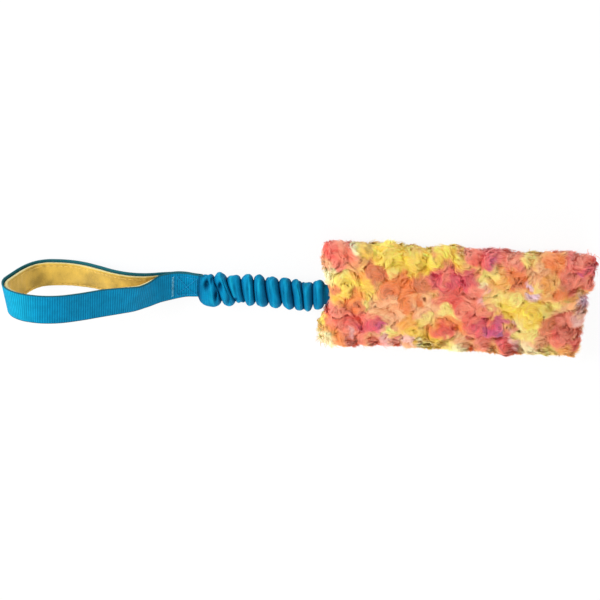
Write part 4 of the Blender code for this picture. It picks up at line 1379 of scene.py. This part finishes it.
def grow_locks(roots, normals, middles, rng):
    """Paths of the locks: each rises from its root and lies down along the flow of the pile, as an array of points."""
    fur = bpy.context.scene.tug_toy_fur
    count = len(roots)
    index, distance = nearest_curl(roots, middles)
    flat = np.abs(normals[:, 2])
    stride = (fur.pile_length * rng.uniform(0.6, 1.2, count) * (0.5 + 0.5 * flat))[:, None] / lock_steps
    depth = fur.pile_depth * rng.uniform(0.5, 1.1, count)
    stray = (rng.normal(0.0, 0.38, count) * (0.7 + 0.3 * flat))[:, None]
    points = roots + normals * pile_relief(roots, normals, index, distance, fur.curl_radius)[:, None]
    path = [points]
    for lift in (0.46, 0.28, 0.16, 0.08, 0.02):
        heading = curl_flow(points, normals, middles, 0.6 * fur.curl_radius)
        heading = heading * np.cos(stray) + np.cross(normals, heading) * np.sin(stray)
        points = points + heading * stride + normals * (depth * lift)[:, None]
        path.append(points)
    return np.stack(path, axis=1)


def clear_of_sleeve(path):
    """Which locks keep out of the sleeve where it goes into the pad."""
    across = (path[:, :, 1] - bungee_y) / (9.6 * MM)
    up = (path[:, :, 2] - bungee_z) / (7.4 * MM)
    within = (np.hypot(across, up) < 1.0) & (path[:, :, 0] < pad_front_x + 7 * MM)
    return ~within.any(axis=1)


def gather_clumps(path, rng, spacing):
    """Draws the locks together towards their tips, into pointed clumps. Gives back each lock's clump."""
    mid = path[:, 2]
    cells = np.floor(mid / spacing + rng.uniform(-0.25, 0.25, mid.shape)).astype(int)
    _, clump = np.unique(cells, axis=0, return_inverse=True)
    clump = clump.reshape(-1)
    total = np.bincount(clump)
    average = np.stack([
        np.stack([np.bincount(clump, path[:, k, axis]) / total for axis in range(3)], axis=1)
        for k in range(path.shape[1])
    ], axis=1)
    pull = np.linspace(0.0, 0.50, path.shape[1])[None, :, None]
    return path * (1 - pull) + average[clump] * pull, clump


def lock_mesh(name, path, normals, colours, width, rng):
    """One mesh of many locks: flat tapering ribbons, each with its own dye and its own cell of the bake's map."""
    count, rings = path.shape[:2]
    along = unit(np.gradient(path, axis=1))
    roll = rng.normal(0.0, 0.35, count)
    side = unit(np.cross(along, normals[:, None, :]))
    face = np.cross(side, along)
    side = side * np.cos(roll)[:, None, None] + face * np.sin(roll)[:, None, None]
    taper = np.array((0.85, 1.0, 1.0, 0.85, 0.55, 0.12))
    half = (width * rng.uniform(0.6, 1.3, count))[:, None] * taper[None, :] / 2
    left = path - side * half[:, :, None]
    right = path + side * half[:, :, None]
    verts = np.stack([left, right], axis=2).reshape(-1, 3)
    verts[:, 2] = np.maximum(verts[:, 2], ribbon_floor)
    base = (np.arange(count) * rings * 2)[:, None]
    ring = np.arange(rings - 1)[None, :] * 2
    corner = base + ring
    faces = np.stack([corner, corner + 1, corner + 3, corner + 2], axis=2).reshape(-1, 4)
    mesh = bpy.data.meshes.new(name)
    mesh.vertices.add(len(verts))
    mesh.vertices.foreach_set("co", verts.ravel())
    mesh.loops.add(faces.size)
    mesh.loops.foreach_set("vertex_index", faces.ravel())
    mesh.polygons.add(len(faces))
    mesh.polygons.foreach_set("loop_start", np.arange(len(faces)) * 4)
    mesh.update(calc_edges=True)
    mesh.shade_smooth()
    # The locks are lit as one soft pile, so their normals lean towards the skin's
    lean = unit(0.35 * face + 0.65 * normals[:, None, :])
    mesh.normals_split_custom_set_from_vertices(np.repeat(lean.reshape(-1, 3), 2, axis=0))
    # Each lock's colours: its dye, with painted light on the pad's sides
    dye = mesh.color_attributes.new("Dye", "FLOAT_COLOR", "POINT")
    shade = np.repeat(colours.reshape(-1, 3), 2, axis=0)
    dye.data.foreach_set("color", np.concatenate([shade, np.ones((len(shade), 1))], axis=1).ravel())
    # Every lock has a cell of its own in the map that its colours are baked through
    cells = math.ceil(math.sqrt(count))
    cell = np.stack([np.arange(count) % cells, np.arange(count) // cells], axis=1) / cells
    share = np.arange(rings) / (rings - 1)
    up = cell_low + (1 - 2 * cell_low) * share
    inner = np.stack([np.stack([np.full(rings, edge), up], 1) for edge in (cell_side, 1 - cell_side)], axis=1)
    places = (cell[:, None, None, :] + inner[None] / cells).reshape(-1, 2)
    bake_map = mesh.uv_layers.new(name="OFBake")
    bake_map.data.foreach_set("uv", places[faces.ravel()].ravel())
    piece = bpy.data.objects.new(name, mesh)
    bpy.context.scene.collection.objects.link(piece)
    return piece


class TUGTOY_OT_fur_pad(bpy.types.Operator):
    """Makes the stuffed skin of the pad and the curly pile on it"""

    bl_idname = "tugtoy.fur_pad"
    bl_label = "Fur Pad"

    def execute(self, context):
        fur = context.scene.tug_toy_fur
        rng = np.random.default_rng(fur.seed)
        bm = skin_mesh(fur.pile_depth - 0.2 * MM, 110, 46, 16)
        skin = mesh_piece("pad_skin", bm, angle=math.pi)
        surface = vertex_rows(skin.data, "co")
        normals = vertex_rows(skin.data, "normal")
        middles = all_curl_middles(rng, surface, normals)
        self.locks(skin, middles, rng)
        index, distance = nearest_curl(surface, middles)
        relief = pile_relief(surface, normals, index, distance, fur.curl_radius)
        lift = np.maximum(relief, skin_lowest) + side_fill * (1.0 - normals[:, 2] ** 2)
        swollen = surface + normals * lift[:, None]
        swollen[:, 2] = np.clip(swollen[:, 2], skin_floor, None)
        skin.data.vertices.foreach_set("co", swollen.ravel())
        dye = skin.data.color_attributes.new("Dye", "FLOAT_COLOR", "POINT")
        dyed = dye_at(surface, surface[:, 2] > lower_dye_top)
        colour = np.clip(skin_gain * dyed ** skin_deepening, 0.0, 1.0)
        dye.data.foreach_set("color", np.concatenate([colour, np.ones((len(colour), 1))], axis=1).ravel())
        skin.data.update()
        skin.data.materials.append(skin_material())
        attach(skin, "pad")
        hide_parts("fur_panel_top", "fur_panel_bottom")
        return {"FINISHED"}

    def locks(self, skin, middles, rng):
        fur = bpy.context.scene.tug_toy_fur
        material = pile_material()
        share = 1.0
        for side, total, pieces in (("upper", fur.upper_locks, 5), ("lower", fur.lower_locks, 3)):
            upper = side == "upper"

            def weights(centres, upper=upper):
                above = centres[:, 2] > bungee_z
                across = (centres[:, 1] - bungee_y) / (9.2 * MM)
                up = (centres[:, 2] - bungee_z) / (7 * MM)
                clear = np.hypot(across, up) > 1
                at_mouth = centres[:, 0] < pad_front_x + 10 * MM
                return np.where(above == upper, 1.0, 0.0) * np.where(at_mouth & ~clear, 0.0, 1.0)

            roots, normals = scatter(skin.data, int(total * share), rng, weights)
            path = grow_locks(roots, normals, middles, rng)
            clear = clear_of_sleeve(path)
            roots, normals, path = roots[clear], normals[clear], path[clear]
            path, clump = gather_clumps(path, rng, 3.4 * MM)
            path[:, :, 2] = np.maximum(path[:, :, 2], lock_floor)
            # The dye was poured on the curled pile, so it goes by where each part of a lock lies
            places = (0.25 * roots[:, None, :] + 0.75 * path).reshape(-1, 3)
            above = np.repeat(roots[:, 2] > lower_dye_top, lock_steps + 1)
            colour = dye_at(places, above).reshape(path.shape)
            clump_tone = rng.normal(1.0, 0.09, clump.max() + 1)[clump]
            tone = np.clip(clump_tone * rng.normal(1.0, 0.08, len(roots)), 0.65, 1.35)
            pale = np.array(linear("#FFF3DC")[:3])
            # The pile is deeper in colour at its roots and paler towards its tips, and on the sides it is painted paler
            # all over: painted light where the lamps leave the sides in shade
            turned = 1.0 - np.abs(normals[:, 2:])
            deepen = 1.03 + np.linspace(0.16, -0.05, lock_steps + 1)[None, :] * (1.0 - 0.7 * turned)
            paling = np.array((0.0, 0.01, 0.04, 0.07, 0.11, 0.18))[None, :] * (1.0 + 0.7 * turned) + 0.10 * turned
            gain = pile_gain * (1.0 + 0.22 * turned[:, :, None])
            colours = gain * colour ** deepen[:, :, None] * tone[:, None, None]
            colours = colours * (1 - paling[:, :, None]) + pale * paling[:, :, None]
            colours = np.clip(colours, 0.0, 1.0)
            order = np.argsort(roots[:, 0])
            for k, part in enumerate(np.array_split(order, pieces)):
                pile = lock_mesh(
                    f"fur_pile_{side}_{k + 1}", path[part], normals[part], colours[part], fur.lock_width, rng
                )
                pile.data.materials.append(material)
                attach(pile, "pad")


class TUGTOY_OT_inner_pieces(bpy.types.Operator):
    """Gives the pieces inside the toy their materials"""

    bl_idname = "tugtoy.inner_pieces"
    bl_label = "Inner Pieces"

    def execute(self, context):
        seam = thread_material("cream_polyester_thread", "#E6D2B0")
        blue = thread_material("blue_nylon_thread", thread_blue)
        wadding = wadding_material()
        # The tape lies inside and out of sight, so it has the thread's twist for a weave
        tape = thread_material("narrow_nylon_tape", "#1585BA")
        dressed = {
            "pad_filling_top": wadding,
            "pad_filling_bottom": wadding,
            "pad_core_strap": tape,
            "front_anchor_tab": tape,
            "rear_anchor_tab": tape,
            "core_far_tack": blue,
            "elastic_front_tack": blue,
            "elastic_rear_tack": blue,
            "pad_seam_left": seam,
            "pad_seam_right": seam,
            "pad_seam_end": seam,
            "mouth_stitch_left": seam,
            "mouth_stitch_right": seam,
        }
        for name, material in dressed.items():
            node = frame["nodes"][name]
            for slot in node.material_slots:
                slot.material = material
        return {"FINISHED"}


# Stage


# What lies in the middle of the picture, on the level of the bungee
sight_point = Vector((0.55 * MM, -8.27 * MM, bungee_z))


class TUGTOY_OT_stage(bpy.types.Operator):
    """Makes the floor, the world, the lamps and the camera"""

    bl_idname = "tugtoy.stage"
    bl_label = "Stage"

    def execute(self, context):
        self.floor(context)
        self.light(context)
        self.camera(context)
        context.scene.view_settings.view_transform = "Standard"
        return {"FINISHED"}

    def floor(self, context):
        """A wide white sheet of card that keeps a faint shadow."""
        bm = bmesh.new()
        bmesh.ops.create_grid(bm, x_segments=2, y_segments=2, size=3.0)
        bmesh.ops.translate(bm, verts=bm.verts, vec=(0.0, 0.0, -0.2 * MM))
        floor = mesh_piece("floor", bm)
        made = new_material("white_card")
        tree = made.node_tree
        where = add_node(tree, "ShaderNodeTexCoord")
        grain = add_node(
            tree, "ShaderNodeTexNoise", {"Vector": where.outputs["Object"], "Scale": 300.0, "Detail": 2.0}
        )
        tone = ramp(tree, grain.outputs["Fac"], (0.3, linear("#F7F7F7")), (0.7, linear("#FBFBFB")))
        card = add_node(tree, "ShaderNodeBsdfDiffuse", {"Color": tone.outputs["Color"]})
        glow = add_node(tree, "ShaderNodeEmission", {"Color": (1.0, 1.0, 1.0, 1.0), "Strength": 1.0})
        # Where the floor is seen, most of it glows, so that the toy's shadow on it stays faint
        glow_share = 0.90
        share = add_node(tree, "ShaderNodeMath", {0: seen_directly(tree), 1: glow_share}, operation="MULTIPLY")
        mixed = add_node(
            tree, "ShaderNodeMixShader", {0: share.outputs[0], 1: card.outputs["BSDF"], 2: glow.outputs["Emission"]}
        )
        add_node(tree, "ShaderNodeOutputMaterial", {"Surface": mixed.outputs["Shader"]})
        floor.data.materials.append(made)

    def light(self, context):
        stage = context.scene.tug_toy_stage
        world = bpy.data.worlds.new("studio")
        world.use_nodes = True
        context.scene.world = world
        tree = world.node_tree
        tree.nodes.clear()
        around = add_node(
            tree, "ShaderNodeBackground", {"Color": (1.0, 1.0, 1.0, 1.0), "Strength": stage.world_level}
        )
        behind = add_node(tree, "ShaderNodeBackground", {"Color": (1.0, 1.0, 1.0, 1.0), "Strength": 1.0})
        mixed = add_node(
            tree, "ShaderNodeMixShader",
            {0: seen_directly(tree), 1: around.outputs["Background"], 2: behind.outputs["Background"]},
        )
        add_node(tree, "ShaderNodeOutputWorld", {"Surface": mixed.outputs["Shader"]})
        for name, power, place, size in (
            ("key_lamp", stage.key_power, (-1.25, 0.60, 0.90), 0.9),
            ("fill_lamp", stage.fill_power, (0.5, -1.25, 0.5), 1.0),
        ):
            data = bpy.data.lights.new(name, "AREA")
            data.energy = power
            data.shape = "SQUARE"
            data.size = size
            lamp = bpy.data.objects.new(name, data)
            lamp.location = place
            lamp.rotation_euler = Vector(place).to_track_quat("Z", "Y").to_euler()
            context.scene.collection.objects.link(lamp)

    def camera(self, context):
        stage = context.scene.tug_toy_stage
        data = bpy.data.cameras.new("camera")
        data.lens = stage.lens
        data.clip_start = 0.05
        data.clip_end = 20.0
        back = Vector((0.0, math.sin(stage.lean), math.cos(stage.lean)))
        level_up = Vector((0.0, math.cos(stage.lean), -math.sin(stage.lean)))
        level_right = Vector((1.0, 0.0, 0.0))
        right = level_right * math.cos(stage.roll) + level_up * math.sin(stage.roll)
        up = level_up * math.cos(stage.roll) - level_right * math.sin(stage.roll)
        distance = stage.view_width * stage.lens / data.sensor_width
        camera = bpy.data.objects.new("camera", data)
        turned = Matrix((right, up, back)).transposed().to_4x4()
        camera.matrix_world = Matrix.Translation(sight_point + back * distance) @ turned
        context.scene.collection.objects.link(camera)
        context.scene.camera = camera


class TUGTOY_PT_panel(bpy.types.Panel):
    """Lists the toy's pieces and their settings"""

    bl_label = "Bungee Tug Toy"
    bl_idname = "TUGTOY_PT_panel"
    bl_space_type = "VIEW_3D"
    bl_region_type = "UI"
    bl_category = "Tug Toy"

    def draw(self, context):
        scene = context.scene
        for title, group, operators in (
            ("Hand loop", scene.tug_toy_handle, (TUGTOY_OT_hand_strap, TUGTOY_OT_strap_lining, TUGTOY_OT_stitching)),
            ("Bungee", scene.tug_toy_sleeve, (TUGTOY_OT_gathered_sleeve, TUGTOY_OT_flat_elastic)),
            ("Pad", scene.tug_toy_fur, (TUGTOY_OT_fur_pad, TUGTOY_OT_inner_pieces)),
            ("Stage", scene.tug_toy_stage, (TUGTOY_OT_stage,)),
        ):
            box = self.layout.box()
            box.label(text=title)
            for name in group.__annotations__:
                box.prop(group, name)
            for operator in operators:
                box.operator(operator.bl_idname)


setting_groups = {
    "tug_toy_handle": HandleSettings,
    "tug_toy_sleeve": SleeveSettings,
    "tug_toy_fur": FurSettings,
    "tug_toy_stage": StageSettings,
}
operator_classes = (
    TUGTOY_OT_hand_strap,
    TUGTOY_OT_strap_lining,
    TUGTOY_OT_stitching,
    TUGTOY_OT_gathered_sleeve,
    TUGTOY_OT_flat_elastic,
    TUGTOY_OT_fur_pad,
    TUGTOY_OT_inner_pieces,
    TUGTOY_OT_stage,
)


def register():
    for name, group in setting_groups.items():
        bpy.utils.register_class(group)
        setattr(bpy.types.Scene, name, PointerProperty(type=group))
    for kind in operator_classes:
        bpy.utils.register_class(kind)
    bpy.utils.register_class(TUGTOY_PT_panel)


def unregister():
    bpy.utils.unregister_class(TUGTOY_PT_panel)
    for kind in reversed(operator_classes):
        bpy.utils.unregister_class(kind)
    for name, group in setting_groups.items():
        delattr(bpy.types.Scene, name)
        bpy.utils.unregister_class(group)


def main():
    register()
    bpy.ops.tugtoy.stage()
    bpy.ops.tugtoy.hand_strap()
    bpy.ops.tugtoy.strap_lining()
    bpy.ops.tugtoy.stitching()
    bpy.ops.tugtoy.gathered_sleeve()
    bpy.ops.tugtoy.flat_elastic()
    bpy.ops.tugtoy.fur_pad()
    bpy.ops.tugtoy.inner_pieces()


if __name__ == "__main__":
    main()
